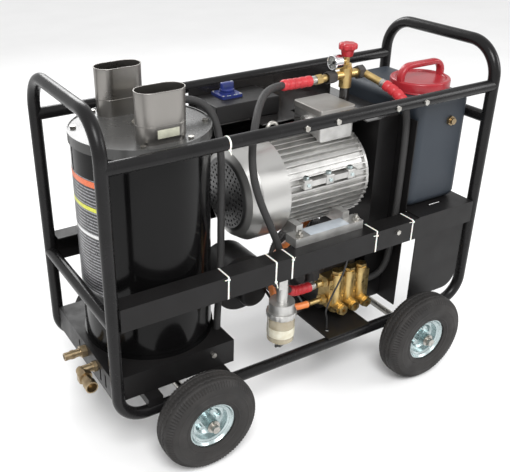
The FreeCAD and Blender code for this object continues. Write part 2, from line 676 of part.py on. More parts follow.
def burner_fan():
    """The blower wheel: back plate, rim ring, blades and shaft."""
    x, y0 = along(BURNER_U), BURNER_Y[0]
    start = y0 + BURNER_WALL + 16
    wheel = rod((x, start, BURNER_Z), (0, 1, 0), BLOWER_D, 2)
    inner_d = BLOWER_D - 2 * BLOWER_RING_W
    wheel = wheel.fuse(ring((x, start + BLOWER_W - 3, BURNER_Z), (0, 1, 0), BLOWER_D, inner_d, 3))
    blade_x = x + BLOWER_D / 2 - 1.5
    for k in range(BLOWER_BLADES):
        blade = block(blade_x - BLADE_W, blade_x, start + 1, start + BLOWER_W - 1.5,
                      BURNER_Z - 1, BURNER_Z + 1)
        blade.rotate(Vector(x, 0, BURNER_Z), Vector(0, 1, 0), 360 / BLOWER_BLADES * k)
        wheel = wheel.fuse(blade)
    shaft = rod((x, y0 - 36, BURNER_Z), (0, 1, 0), BURNER_SHAFT_D, start + 14 - (y0 - 36))
    hub = rod((x, start, BURNER_Z), (0, 1, 0), 30, 14)
    return wheel.fuse(shaft).fuse(hub).removeSplitter()


# ---------------------------------------------------------------- motor
def motor_frame():
    """The finned aluminium housing with its drive-end bell, feet on both channels and shaft bore."""
    x0, x1 = along(MOTOR_U[0]), along(MOTOR_U[1])
    points = []
    pitch = 2 * math.pi / FIN_COUNT
    half_fin = FIN_T / FIN_D
    for k in range(FIN_COUNT):
        turn = k * pitch
        for r, offset in ((CORE_D / 2, -half_fin), (FIN_D / 2, -half_fin), (FIN_D / 2, half_fin),
                          (CORE_D / 2, half_fin)):
            angle = turn + offset * (FIN_D / 2) / r
            points.append(Vector(x0, r * math.cos(angle), MOTOR_Z + r * math.sin(angle)))
    housing = Part.Face(Part.makePolygon(points + [points[0]])).extrude(Vector(x1 - x0, 0, 0))
    bell = [(x1, 0), (x1, 118), (x1 + 8, 118), (x1 + END_BELL_L, 60), (x1 + END_BELL_L, 0)]
    housing = housing.fuse(turned([(a - x1, r) for a, r in bell], (x1, 0, MOTOR_Z), (1, 0, 0)))
    f0, f1 = along(FOOT_U[0]), along(FOOT_U[1])
    for side in (-1, 1):
        outer = side * (FRAME_W / 2 - FOOT_IN)
        inner = outer - side * FOOT_W
        ya, yb = sorted((outer, inner))
        pad = block(f0, f1, ya, yb, CHANNEL_TOP_Z, CHANNEL_TOP_Z + FOOT_H)
        wa, wb = sorted((inner + side * 12, side * 78))
        web_z = CHANNEL_TOP_Z + FOOT_H
        for wx in (f0 + 24, f1 - 44):
            web = block(wx, wx + 20, wa, wb, CHANNEL_TOP_Z + 4, web_z + 20)
            housing = housing.fuse(web)
        la, lb = sorted((side * (CORE_D / 2 - 16), side * FIN_D / 2))
        lug = block(x0 + 40, x1 - 40, la, lb, MOTOR_Z + 28, MOTOR_Z + 44)
        housing = housing.fuse(pad).fuse(lug)
    bore = MOTOR_SHAFT_D + 2 * RUNNING_GAP
    housing = housing.cut(rod((x0 - 1, 0, MOTOR_Z), (1, 0, 0), bore, x1 - x0 + END_BELL_L + 2))
    return housing.removeSplitter()


def motor_fan_cover():
    """The spun cover over the cooling fan, its end pierced with rings of holes."""
    x_open = along(MOTOR_U[0])
    x_end, x_bend = along(COVER_U), along(COVER_TAPER_U)
    r, face_r, t = COVER_D / 2, COVER_FACE_D / 2, COVER_WALL
    length, bend = x_open - x_end, x_bend - x_end
    outline = [(0, 0), (0, face_r), (bend * 0.35, face_r + (r - face_r) * 0.62), (bend, r), (length, r),
               (length, r - t), (bend, r - t), (bend * 0.35 + t, face_r + (r - face_r) * 0.62 - t),
               (t, face_r - t), (t, 0)]
    cover = turned(outline, (x_end, 0, MOTOR_Z), (1, 0, 0))
    seat = ring((x_open - 8, 0, MOTOR_Z), (1, 0, 0), COVER_D - t, FIN_D - 1, 8)
    cover = cover.fuse(seat)
    holes = []
    for ring_r, count in ((30, 12), (44, 18), (58, 24), (72, 30), (84, 36)):
        for k in range(count):
            turn = 2 * math.pi * k / count
            holes.append(rod((x_end - 1, ring_r * math.cos(turn), MOTOR_Z + ring_r * math.sin(turn)),
                             (1, 0, 0), 7, t + 2))
    return cover.cut(Part.makeCompound(holes))


def motor_shaft():
    x0, x1 = along(COVER_U + 20), along(GUARD_U[1]) - GUARD_WALL - 8
    return rod((x0, 0, MOTOR_Z), (1, 0, 0), MOTOR_SHAFT_D, x1 - x0)


def on_shaft(solid, x, y, z, diameter, length):
    return solid.cut(rod((x - 1, y, z), (1, 0, 0), diameter, length + 2))


def motor_fan():
    x = along(COVER_U + 26)
    wheel = rod((x, 0, MOTOR_Z), (1, 0, 0), 62, FAN_L)
    for k in range(FAN_BLADES):
        blade = block(x, x + FAN_L, -1.5, 1.5, MOTOR_Z + 28, MOTOR_Z + FAN_D / 2)
        blade.rotate(Vector(x, 0, MOTOR_Z), Vector(1, 0, 0), 360 / FAN_BLADES * k)
        wheel = wheel.fuse(blade)
    return on_shaft(wheel.removeSplitter(), x, 0, MOTOR_Z, MOTOR_SHAFT_D, FAN_L)


def terminal_box():
    x0, x1 = along(TERMINAL_U[0]), along(TERMINAL_U[1])
    z0 = MOTOR_Z + CORE_D / 2 - 6
    z1 = MOTOR_Z + FIN_D / 2 + TERMINAL_H
    half = TERMINAL_W / 2
    box = rounded_block(x0, x1, -half, half, z0, z1, 8, "upright")
    box = box.cut(rod((x0 - 1, 0, MOTOR_Z), (1, 0, 0), FIN_D + 0.2, x1 - x0 + 2))
    cavity = rounded_block(x0 + 5, x1 - 5, -half + 5, half - 5, MOTOR_Z + FIN_D / 2 + 8, z1 + 1, 4, "upright")
    box = box.cut(cavity)
    gland = rod((x0 - 12, 0, z1 - 24), (1, 0, 0), 26, 14)
    return box.fuse(gland.cut(rod((x0 - 13, 0, z1 - 24), (1, 0, 0), 16, 30))).removeSplitter()


def terminal_lid():
    x0, x1 = along(TERMINAL_U[0]), along(TERMINAL_U[1])
    z = MOTOR_Z + FIN_D / 2 + TERMINAL_H
    half = TERMINAL_W / 2
    lid = rounded_block(x0 - 2, x1 + 2, -half - 2, half + 2, z, z + TERMINAL_LID_H, 9, "upright")
    top = [e for e in lid.Edges if abs(e.CenterOfMass.z - z - TERMINAL_LID_H) < 0.1]
    return lid.makeFillet(3, top)


def lifting_eye():
    x, z = along(MOTOR_U[0] + 24), MOTOR_Z + FIN_D / 2
    stem = rod((x, 0, z), (0, 0, 1), 26, 5).fuse(rod((x, 0, z + 5), (0, 0, 1), 14, 6))
    loop = Part.makeTorus(16, 5, Vector(x, 0, z + 28), Vector(0, 1, 0))
    return stem.fuse(loop).removeSplitter()


def foot_bolts():
    """Four bolts through the motor's feet and the channels' top flanges."""
    solids = []
    for u in (FOOT_U[0] + 18, FOOT_U[1] - 18):
        for side in (-1, 1):
            y = side * (FRAME_W / 2 - FOOT_IN - FOOT_BOLT_IN)
            z = CHANNEL_TOP_Z + FOOT_H
            washer = rod((along(u), y, z), (0, 0, 1), FOOT_WASHER_D, 2.5)
            head = hexagon((along(u), y, z + 2.5), (0, 0, 1), 17, 8)
            stud = rod((along(u), y, z + 10), (0, 0, 1), 10, 8)
            solids.append(washer.fuse(head).fuse(stud).removeSplitter())
    return solids


# ---------------------------------------------------------------- belt drive
def pulley(diameter, centre_y, centre_z, shaft_d):
    """A flat-grooved belt pulley: rim flanges, groove, web and hub on its shaft."""
    x0 = along(GUARD_U[0]) + 16
    r, w = diameter / 2, PULLEY_W
    g = (PULLEY_W - BELT_W) / 2 - 1
    outline = [(0, shaft_d / 2), (0, r), (g, r), (g, r - BELT_T), (w - g, r - BELT_T), (w - g, r), (w, r),
               (w, shaft_d / 2)]
    return turned(outline, (x0, centre_y, centre_z), (1, 0, 0))


def motor_pulley():
    return pulley(MOTOR_PULLEY_D, 0, MOTOR_Z, MOTOR_SHAFT_D)


def pump_pulley():
    return pulley(PUMP_PULLEY_D, 0, CRANK_Z, CRANK_D)


def drive_belt():
    """The belt: outer loop less inner loop, both being tangent lines round two circles."""
    x0 = along(GUARD_U[0]) + 16 + (PULLEY_W - BELT_W) / 2

    def loop(grow):
        low_r = PUMP_PULLEY_D / 2 - BELT_T + grow
        high_r = MOTOR_PULLEY_D / 2 - BELT_T + grow
        span = MOTOR_Z - CRANK_Z
        lean = math.asin((low_r - high_r) / span)
        c, s = math.cos(lean), math.sin(lean)
        a = Vector(x0, -low_r * c, CRANK_Z + low_r * s)
        b = Vector(x0, -high_r * c, MOTOR_Z + high_r * s)
        e, f = Vector(x0, -b.y, b.z), Vector(x0, -a.y, a.z)
        top = Part.Arc(b, Vector(x0, 0, MOTOR_Z + high_r), e).toShape()
        bottom = Part.Arc(f, Vector(x0, 0, CRANK_Z - low_r), a).toShape()
        wire = Part.Wire([Part.makeLine(a, b), top, Part.makeLine(e, f), bottom])
        return Part.Face(wire).extrude(Vector(BELT_W, 0, 0))

    return loop(BELT_T).cut(loop(BELT_GAP))


def belt_guard():
    """The sheet-metal box round both pulleys, with holes where the shafts enter."""
    x0, x1 = along(GUARD_U[0]), along(GUARD_U[1])
    y1 = GUARD_HALF_W
    z0 = CRANK_Z - PUMP_PULLEY_D / 2 - GUARD_END_CLEAR + 16
    z1 = DECK_Z
    t = GUARD_WALL
    box = block(x0, x1, -y1, y1, z0, z1)
    box = box.cut(block(x0 + t, x1 - t, -y1 + t, y1 - t, z0 + t, z1 - t))
    box = box.cut(rod((x0 - 1, 0, MOTOR_Z), (1, 0, 0), MOTOR_SHAFT_D + 12, t + 2))
    return box.cut(rod((x0 - 1, 0, CRANK_Z), (1, 0, 0), CRANK_D + 12, t + 2))


# ---------------------------------------------------------------- pump
def pump_crankcase():
    x0, x1 = along(PUMP_U[0]), along(PUMP_U[1])
    (y0, y1), z0 = CRANKCASE_Y, PUMP_PLATE_Z + PUMP_PLATE_T
    case = rounded_block(x0 + 6, x1 - 6, y0, y1, z0 + 10, CRANK_Z + CRANKCASE_H / 2, 14)
    for x in (x0 + 14, x1 - 34):
        case = case.fuse(block(x, x + 20, y0 + 10, y1 - 6, z0, z0 + 26))
    bore = CRANK_D + 2 * RUNNING_GAP
    case = case.cut(rod((x0 + 30, 0, CRANK_Z), (1, 0, 0), bore, x1 - x0))
    cap = rod((x0 - 2, 0, CRANK_Z), (1, 0, 0), 60, 10)
    filler = rod((x0 + 40, y1 - 30, CRANK_Z + CRANKCASE_H / 2 - 2), (0, 0, 1), 26, 14)
    return case.fuse(cap).fuse(filler).removeSplitter()


def valve_columns():
    x0, x1 = along(PUMP_U[0]), along(PUMP_U[1])
    pitch = (x1 - x0 - 14) / 3
    return [x0 + 7 + pitch * (k + 0.5) for k in range(3)], pitch


def manifold_box():
    """Y and Z limits of the pump's brass head."""
    y1 = CRANKCASE_Y[0]
    z0 = CRANK_Z - MANIFOLD_H / 2 - 2
    return y1 - MANIFOLD_D, y1, z0, z0 + MANIFOLD_H


def pump_manifold():
    """The brass head: a block with a rounded column for each of the three cylinders."""
    x0, x1 = along(PUMP_U[0]), along(PUMP_U[1])
    y0, y1, z0, z1 = manifold_box()
    columns, pitch = valve_columns()
    body = block(x0, x1, y0 + 14, y1, z0 + 16, z1 - 10)
    for x in columns:
        body = body.fuse(rod((x, y0 + 20, z0 + 2), (0, 0, 1), pitch - 8, z1 - z0 - 2))
        body = body.fuse(rod((x, y0 - 6, z0 + 20), (0, 1, 0), pitch - 10, 40))
    for z, reach, wide in ((DISCHARGE_Z, DISCHARGE_REACH, 20), (SUPPLY_Z, SUPPLY_REACH, 16)):
        body = body.fuse(rod((x0 - reach, PORT_Y, z), (1, 0, 0), wide, reach + 10))
        body = body.fuse(hexagon((x0 - 18, PORT_Y, z), (1, 0, 0), 26, 16))
    body = body.fuse(rod((x1 - 10, PORT_Y, BYPASS_Z), (1, 0, 0), 20, BYPASS_REACH + 10))
    y_bolt = y0 + 14
    for k in range(4):
        x = x0 + 7 + pitch * k
        x = min(max(x, x0 + 10), x1 - 10)
        for z in (z0 + 46, z1 - 34):
            body = body.cut(rod((x, y_bolt - 1, z), (0, 1, 0), 15, 9))
            body = body.fuse(rod((x, y_bolt, z), (0, 1, 0), 11, 9))
    return body.removeSplitter()


def valve_caps():
    """Six identical hexagonal valve caps: three on top, three at the front of the head."""
    y0, y1, z0, z1 = manifold_box()
    solids = []
    for x in valve_columns()[0]:
        for start, way in (((x, y0 + 20, z1), (0, 0, 1)), ((x, y0 - 6, z0 + 20), (0, -1, 0))):
            collar = rod(start, way, VALVE_CAP_D, VALVE_CAP_H * 0.4)
            tip = Vector(*start) + Vector(*way) * VALVE_CAP_H * 0.4
            head = hexagon(tuple(tip), way, VALVE_CAP_D - 6, VALVE_CAP_H * 0.6)
            socket = hexagon(tuple(tip), way, 12, VALVE_CAP_H)
            solids.append(collar.fuse(head).cut(socket).removeSplitter())
    return Part.makeCompound(solids)


def crankshaft():
    x0 = along(PUMP_U[0]) + 32
    x1 = along(GUARD_U[0]) + 16 + PULLEY_W + 4
    return rod((x0, 0, CRANK_Z), (1, 0, 0), CRANK_D, x1 - x0)


# ---------------------------------------------------------------- tank
def cap_centre():
    return (along((TANK_U[0] + TANK_U[1]) / 2), CAP_Y)


def tank():
    """A rotomoulded tank with rounded edges and a wide filler neck, open at the top."""
    x0, x1, y1 = along(TANK_U[0]), along(TANK_U[1]), TANK_HALF_W
    t = TANK_WALL
    body = rounded_block(x0, x1, -y1, y1, TANK_BOTTOM_Z, TANK_TOP_Z, TANK_R)
    inside = rounded_block(x0 + t, x1 - t, -y1 + t, y1 - t, TANK_BOTTOM_Z + t, TANK_TOP_Z - t, TANK_R - t)
    cx, cy = cap_centre()
    neck = rod((cx, cy, TANK_TOP_Z - t), (0, 0, 1), NECK_D, NECK_H + t)
    mouth = rod((cx, cy, TANK_TOP_Z - t - 1), (0, 0, 1), NECK_D - 2 * t, NECK_H + t + 2)
    return body.fuse(neck).cut(inside).cut(mouth)


def tank_cap():
    """The screw cap: a cup over the neck with a grip loop across its top."""
    cx, cy = cap_centre()
    z0 = TANK_TOP_Z + 1.0
    cup = rod((cx, cy, z0), (0, 0, 1), CAP_D, CAP_H)
    cup = cup.makeFillet(5, [e for e in cup.Edges if e.CenterOfMass.z > z0 + CAP_H - 0.1])
    cup = cup.cut(rod((cx, cy, z0 - 1), (0, 0, 1), NECK_D + 1.2, NECK_H + 1.5))
    dish = rod((cx, cy, z0 + CAP_H - 4), (0, 0, 1), CAP_D - 26, 5)
    cup = cup.cut(dish)
    half, rise, bar = CAP_D / 2 - 13, 44, 16
    path = bent_path([(cx - half, cy, z0 + CAP_H - 8), (cx - half, cy, z0 + CAP_H + rise - bar / 2),
                      (cx + half, cy, z0 + CAP_H + rise - bar / 2), (cx + half, cy, z0 + CAP_H - 8)],
                     [26, 26])
    return cup.fuse(pipe(path, bar)).removeSplitter()


# ---------------------------------------------------------------- deck, control box and switch
def deck():
    """The shelf behind and beside the motor that carries the control box and the regulator's post;
    its end rests on the belt guard, and its back sheet goes from the far channel to the top rail."""
    x0, x1 = along(DECK_U), along(GUARD_U[1])
    y1 = Y_FAR - TUBE_R
    plate = block(x0, x1, DECK_FRONT_Y, y1, DECK_Z, DECK_Z + DECK_T)
    end = block(along(TERMINAL_U[1] + 4), x1, -GUARD_HALF_W, DECK_FRONT_Y + 1, DECK_Z, DECK_Z + DECK_T)
    tongue = block(along(DECK_TONGUE_U), along(TERMINAL_U[0] - 4), DECK_TONGUE_Y, DECK_FRONT_Y + 1,
                   DECK_Z, DECK_Z + DECK_T)
    back = block(x0, x1, y1 - DECK_T, y1, CHANNEL_TOP_Z, TOP_RAIL_Z)
    x, y, z = along(UNLOADER_U), UNLOADER_Y, DECK_Z + DECK_T
    post = rod((x, y, z), (0, 0, 1), POST_D, UNLOADER_Z - REGULATOR_FOOT - z)
    foot = block(x - 11, x + 22, y - 24, y + 24, z, z + 6)
    whole = plate.fuse(end).fuse(tongue).fuse(back).fuse(post).fuse(foot)
    return whole.removeSplitter()


def control_box():
    x0, x1 = along(CONTROL_U[0]), along(CONTROL_U[1])
    y0, y1 = CONTROL_Y
    z0 = DECK_Z + DECK_T
    return rounded_block(x0, x1, y0, y1, z0, z0 + CONTROL_H, 3)


def switch_base():
    x, y, z = along(SWITCH_U), SWITCH_Y, DECK_Z + DECK_T + CONTROL_H
    base = rounded_block(x - 32, x + 32, y - 32, y + 32, z, z + 8, 5, "upright")
    base = base.fuse(rod((x, y, z + 8), (0, 0, 1), 44, 5))
    return base.cut(rod((x, y, z - 1), (0, 0, 1), 8 + 2 * RUNNING_GAP, 20)).removeSplitter()


def switch_knob():
    """The rotary main switch's knob: a round skirt with a raised grip bar, on its spindle."""
    x, y, z = along(SWITCH_U), SWITCH_Y, DECK_Z + DECK_T + CONTROL_H + 13 + SIDE_GAP
    knob = rod((x, y, z), (0, 0, 1), 40, 7)
    grip = rounded_block(x - 19, x + 19, y - 6, y + 6, z + 6, z + 24, 3, "upright")
    spindle = rod((x, y, z - 12), (0, 0, 1), 8, 13)
    return knob.fuse(grip).fuse(spindle).removeSplitter()


# ---------------------------------------------------------------- regulator and gauge
def unloader_body():
    """The brass pressure regulator on its post, with ports left and right and a gauge port."""
    x, y, z = along(UNLOADER_U), UNLOADER_Y, UNLOADER_Z
    body = rod((x, y, z - REGULATOR_FOOT), (0, 0, 1), 34, REGULATOR_FOOT + 20)
    body = body.fuse(hexagon((x, y, z + 18), (0, 0, 1), 26, 12)).fuse(rod((x, y, z + 28), (0, 0, 1), 15, 22))
    body = body.fuse(rod((x - 40, y, z), (1, 0, 0), 24, 84))
    body = body.fuse(hexagon((x - 40, y, z), (-1, 0, 0), 25, 26))
    body = body.fuse(rod((x - 66, y, z), (-1, 0, 0), 20, 22))
    body = body.fuse(hexagon((x - 84, y, z), (-1, 0, 0), 24, 18))
    body = body.fuse(hexagon((x + 40, y, z), (1, 0, 0), 27, 16))
    elbow = Vector(*RETURN_START) - Vector(x + 56, y, z)
    body = body.fuse(rod((x + 56, y, z), tuple(elbow), 20, elbow.Length))
    body = body.fuse(Part.makeSphere(12, Vector(x + 56, y, z)))
    body = body.fuse(rod((x - GAUGE_REACH, y, z + GAUGE_RISE), (1, 0, 0), 12, GAUGE_REACH))
    bore = rod((x, y, z + 20), (0, 0, 1), 9 + 2 * RUNNING_GAP, 40)
    return body.cut(bore).removeSplitter()


def unloader_knob():
    """The red adjusting knob: six rounded lobes over a skirt, on its spindle."""
    x, y, z = along(UNLOADER_U), UNLOADER_Y, UNLOADER_Z + 50 + SIDE_GAP
    knob = turned([(0, 0), (0, 15), (14, 17), (18, 13), (18, 0)], (x, y, z), (0, 0, 1))
    knob = knob.fuse(rod((x, y, z + 16), (0, 0, 1), 38, 20))
    for k in range(6):
        turn = math.radians(60 * k)
        knob = knob.fuse(rod((x + 19 * math.cos(turn), y + 19 * math.sin(turn), z + 16), (0, 0, 1), 14, 20))
    knob = knob.fuse(rod((x, y, z - 28), (0, 0, 1), 9, 30))
    return knob.removeSplitter()


def gauge_place():
    return (along(UNLOADER_U) - GAUGE_REACH - GAUGE_L, UNLOADER_Y, UNLOADER_Z + GAUGE_RISE)


def gauge_case():
    """The pressure gauge's chromed case, open at its face, with its pivot pin."""
    x, y, z = gauge_place()
    case = rod((x, y, z), (1, 0, 0), GAUGE_D, GAUGE_L)
    case = case.cut(rod((x - 1, y, z), (1, 0, 0), GAUGE_D - 5, 9))
    return case.fuse(rod((x + 3.5, y, z), (1, 0, 0), 3, 6)).removeSplitter()


def gauge_needle():
    """The gauge's needle, zero at the lower left of its dial."""
    x, y, z = gauge_place()
    blade = block(x + 4, x + 5, y - 1.1, y + 1.1, z - 5, z + GAUGE_D / 2 - 6)
    blade = blade.fuse(rod((x + 4, y, z), (1, 0, 0), 7, 2))
    blade = blade.cut(rod((x, y, z), (1, 0, 0), 3 + 2 * RUNNING_GAP, 10)).removeSplitter()
    blade.rotate(Vector(x, y, z), Vector(1, 0, 0), GAUGE_ZERO)
    return blade


# ---------------------------------------------------------------- fuel filter
def filter_head():
    x, y = along(FILTER_U), FILTER_Y
    z1 = CHANNEL_TOP_Z - CHANNEL_H
    foot = z1 - FILTER_NECK_H
    head = rod((x, y, foot), (0, 0, 1), FILTER_D - 6, FILTER_HEAD_H)
    head = head.fuse(rod((x, y, foot + FILTER_HEAD_H), (0, 0, 1), 30, FILTER_NECK_H - FILTER_HEAD_H - 26))
    bracket = block(x - 22, x + 4, y - 16, y + 16, z1 - 30, z1)
    return head.fuse(bracket).removeSplitter()


def bowl_foot():
    return CHANNEL_TOP_Z - CHANNEL_H - FILTER_NECK_H - FILTER_BOWL_H


def filter_bowl():
    x, y = along(FILTER_U), FILTER_Y
    r, h = FILTER_D / 2, FILTER_BOWL_H
    outline = [(0, 5.5), (0, r - 10), (8, r - 1), (h - 16, r), (h, r), (h, r - 3), (h - 16, r - 3),
               (9, r - 4), (4, r - 12), (4, 5.5)]
    return turned(outline, (x, y, bowl_foot()), (0, 0, 1))


def filter_drain():
    x, y = along(FILTER_U), FILTER_Y
    z = bowl_foot()
    foot = z - DRAIN_L - SIDE_GAP
    outline = [(0, 0), (0, 4), (DRAIN_L * 0.4, 11), (DRAIN_L, 12), (DRAIN_L, 0)]
    drain = turned(outline, (x, y, foot), (0, 0, 1))
    stem = rod((x, y, z - 2), (0, 0, 1), 11 - 2 * RUNNING_GAP, 5)
    wings = block(x - 15, x + 15, y - 2.5, y + 2.5, foot + 3, z - 6)
    return drain.fuse(stem).fuse(wings).removeSplitter()


# ---------------------------------------------------------------- fittings on the tray
def brass_fittings():
    """The hot-water outlet, the elbow that holds the inlet swivel, and the tank's side plug."""
    face = along(TRAY_U[0])
    tip = X_LEFT - OUTLET_REACH
    y, z = OUTLET_Y, OUTLET_Z
    outlet = hexagon((face, y, z), (-1, 0, 0), 30, 16)
    outlet = outlet.fuse(rod((face, y, z), (1, 0, 0), PORT_HOLE_D, TRAY_T + 24))
    outlet = outlet.fuse(rod((tip, y, z), (1, 0, 0), OUTLET_D, face - tip))
    outlet = outlet.fuse(rod((tip + OUTLET_THREAD_L, y, z), (1, 0, 0), OUTLET_D + 3, 9)).removeSplitter()
    outlet = outlet.cut(rod((tip - 1, y, z), (1, 0, 0), 12, 40))
    y, z, bend = INLET_Y, INLET_Z, face - INLET_REACH
    arm = hexagon((face, y, z), (-1, 0, 0), 26, 10)
    arm = arm.fuse(rod((face, y, z), (1, 0, 0), PORT_HOLE_D, TRAY_T + 24))
    arm = arm.fuse(rod((face, y, z), (-1, 0, 0), 22, INLET_REACH))
    arm = arm.fuse(Part.makeSphere(12, Vector(bend, y, z)))
    arm = arm.fuse(rod((bend, y, z), (0, -1, 0), 22, 20))
    arm = arm.fuse(rod((bend, y - 18, z), (0, -1, 0), SWIVEL_BORE_D, 34)).removeSplitter()
    plug_start = (along(TANK_FITTING_U), -TANK_HALF_W, TANK_FITTING_Z)
    plug = hexagon(plug_start, (0, -1, 0), 24, 7).fuse(rod(plug_start, (0, -1, 0), 17, 15))
    return Part.makeCompound([outlet, arm, plug.removeSplitter()])


def inlet_swivel():
    """The garden-hose swivel: a hexagonal collar and its brass socket, free to turn on the elbow."""
    x, y, z = along(TRAY_U[0]) - INLET_REACH, INLET_Y - 20 - SIDE_GAP, INLET_Z
    way = (0, -1, 0)
    neck_l = 36
    body = hexagon((x, y, z), way, 34, 16).fuse(rod((x, y - 16, z), way, 27, neck_l - 16))
    body = body.fuse(rod((x, y - neck_l, z), way, INLET_D + 6, INLET_THREAD_L))
    body = body.cut(rod((x, y + 1, z), way, SWIVEL_BORE_D + 2 * RUNNING_GAP, neck_l))
    mouth = rod((x, y - neck_l, z), way, INLET_D, INLET_THREAD_L + 1)
    return body.cut(mouth).cut(rod((x, y - neck_l + 4, z), way, 12, 10)).removeSplitter()


# ---------------------------------------------------------------- hoses, as (u, Y, Z) routes
PRESSURE_ROUTE = [(711, 10, 850), (660, 10, 850), (612, 4, 854), (562, -14, 861), (510, -48, 863),
                  (460, -96, 852), (420, -140, 820), (400, -160, 764), (406, -163, 694), (430, -162, 624),
                  (462, -161, 554), (490, -160, 492), (506, -160, 434), (514, -156, 384), (526, -149, 345),
                  (556, -139, 318), (600, -122, 300), (648, -122, 300)]
RETURN_ROUTE = [(888, -48, 831), (897.5, -77, 821.5), (903, -122, 802), (901, -146, 768), (900, -152, 700),
                (900, -152, 600), (899, -152, 500), (898, -150, 420), (899, -143, 340), (896, -134, 296),
                (886, -125, 272), (866, -122, 262), (842, -122, 262)]
COIL_ROUTE = [(231, 6, 872), (264, 6, 872), (304, 0, 870), (346, -18, 860), (372, -38, 824),
              (376, -60, 752), (366, -78, 664), (360, -88, 570), (354, -98, 480), (348, -104, 400),
              (338, -112, 336), (330, -120, 298), (330, -120, 266)]
SUPPLY_ROUTE = [(628, -122, 243), (590, -124, 246), (552, -130, 262), (520, -133, 288), (500, -133, 322),
                (492, -130, 362), (498, -118, 398), (524, -94, 416), (575, -55, 406), (640, -5, 388),
                (705, 50, 368), (760, 100, 352), (804, 130, 348), (838, 138, 374), (852, 138, 420),
                (860, 138, 468), (874, 138, 510), (896, 138, 530), (924, 138, 530)]
FUEL_ROUTE = [(516, -48, 300), (516, -74, 300), (526, -98, 270), (550, -110, 226), (600, -106, 212),
              (645, -88, 206), (668, -45, 204), (673, 15, 206), (678, 72, 214), (705, 110, 226),
              (760, 132, 234), (815, 148, 264), (850, 157, 330), (868, 160, 420), (878, 158, 500),
              (894, 150, 546), (909, 142, 562), (924, 142, 562)]
CABLE_ROUTE = [(694, -198, 424), (694, -198, 392), (675, -197, 345), (652, -194, 298), (640, -188, 252),
               (662, -174, 214), (662, -174, 179.25)]
RETURN_START = (along(RETURN_ROUTE[0][0]), *RETURN_ROUTE[0][1:])


def route(points):
    return [(along(u), y, z) for u, y, z in points]


def pressure_hoses():
    """The pump's high-pressure hose, the regulator's return hose and the boiler coil's hose."""
    return Part.makeCompound([hose("pressure hose", route(PRESSURE_ROUTE), HOSE_D),
                              hose("return hose", route(RETURN_ROUTE), HOSE_D),
                              hose("coil hose", route(COIL_ROUTE), HOSE_D)])


def supply_hose():
    return hose("supply hose", route(SUPPLY_ROUTE), SUPPLY_D)


def thin_lines():
    """The burner's fuel line and the cable to the pump's plate."""
    return Part.makeCompound([hose("fuel line", route(FUEL_ROUTE), 8),
                              hose("cable", route(CABLE_ROUTE), 5)])


def hose_grips():
    """Three moulded sleeves over the ends of the pressure and return hoses."""
    ends = (PRESSURE_ROUTE, RETURN_ROUTE, PRESSURE_ROUTE[::-1])
    return Part.makeCompound([sleeve(route(points), 3, GRIP_D, HOSE_D) for points in ends])


def zip_ties():
    """Thin straps pulled round the near channel and the near top rail."""
    solids = []
    y0, y1 = Y_NEAR - TUBE_R, Y_NEAR - TUBE_R + CHANNEL_FLANGE
    z0, z1 = CHANNEL_TOP_Z - CHANNEL_H, CHANNEL_TOP_Z
    t, w = TIE_T, TIE_W
    for u in TIE_U:
        x = along(u)
        strap = block(x, x + w, y0 - t, y1 + t, z0 - t, z1 + t).cut(block(x, x + w, y0, y1, z0, z1))
        solids.append(strap)
    solids.append(ring((along(RAIL_TIE_U), Y_NEAR, TOP_RAIL_Z), (1, 0, 0), TUBE_D + 2 * t, TUBE_D, w))
    return Part.makeCompound(solids)


# ---------------------------------------------------------------- every node of the part
def nodes():
    made = {
        "frame_hoop_left": end_hoop(X_LEFT),
        "frame_hoop_right": end_hoop(X_RIGHT),
        "top_rails": bolt_holes(top_rails()),
        "cross_tubes": cross_tubes(),
        "mid_channels": bolt_holes(Part.makeCompound([mid_channel(-1), mid_channel(1)])),
        "base_tray": bolt_holes(tray()),
        "cross_plates": bolt_holes(Part.makeCompound([pump_plate(), bulkhead(), *tank_shelf()])),
        "side_panel": side_panel(),
        "axles": axles(),
        "boiler_shell": boiler_shell(),
        "boiler_lid": bolt_holes(boiler_lid()),
        "flues": Part.makeCompound([flue(0), flue(1)]),
        "lid_fitting": lid_fitting(),
        "hex_bolts": Part.makeCompound(hex_bolts() + foot_bolts()),
        "burner_housing": burner_housing(),
        "burner_motor": burner_motor(),
        "burner_fan": burner_fan(),
        "motor_frame": motor_frame(),
        "motor_fan_cover": motor_fan_cover(),
        "motor_shaft": motor_shaft(),
        "motor_fan": motor_fan(),
        "terminal_box": terminal_box(),
        "terminal_lid": terminal_lid(),
        "lifting_eye": lifting_eye(),
        "motor_pulley": motor_pulley(),
        "pump_pulley": pump_pulley(),
        "drive_belt": drive_belt(),
        "belt_guard": belt_guard(),
        "pump_crankcase": pump_crankcase(),
        "pump_manifold": pump_manifold(),
        "valve_caps": valve_caps(),
        "crankshaft": crankshaft(),
        "tank": tank(),
        "tank_cap": tank_cap(),
        "deck": deck(),
        "control_box": control_box(),
        "switch_base": switch_base(),
        "switch_knob": switch_knob(),
        "unloader_body": unloader_body(),
        "unloader_knob": unloader_knob(),
        "gauge_case": gauge_case(),
        "gauge_needle": gauge_needle(),
        "filter_head": filter_head(),
        "filter_bowl": filter_bowl(),
        "filter_drain": filter_drain(),
        "brass_fittings": brass_fittings(),
        "inlet_swivel": inlet_swivel(),
        "pressure_hoses": pressure_hoses(),
        "supply_hose": supply_hose(),
        "thin_lines": thin_lines(),
        "hose_grips": hose_grips(),
        "zip_ties": zip_ties(),
    }
    for u, end in zip(WHEEL_U, ("left", "right")):
        for side, place in ((-1, "near"), (1, "far")):
            made["tyre_" + place + "_" + end] = tyre(u, side)
            made["rim_" + place + "_" + end] = rim(u, side)
    return made


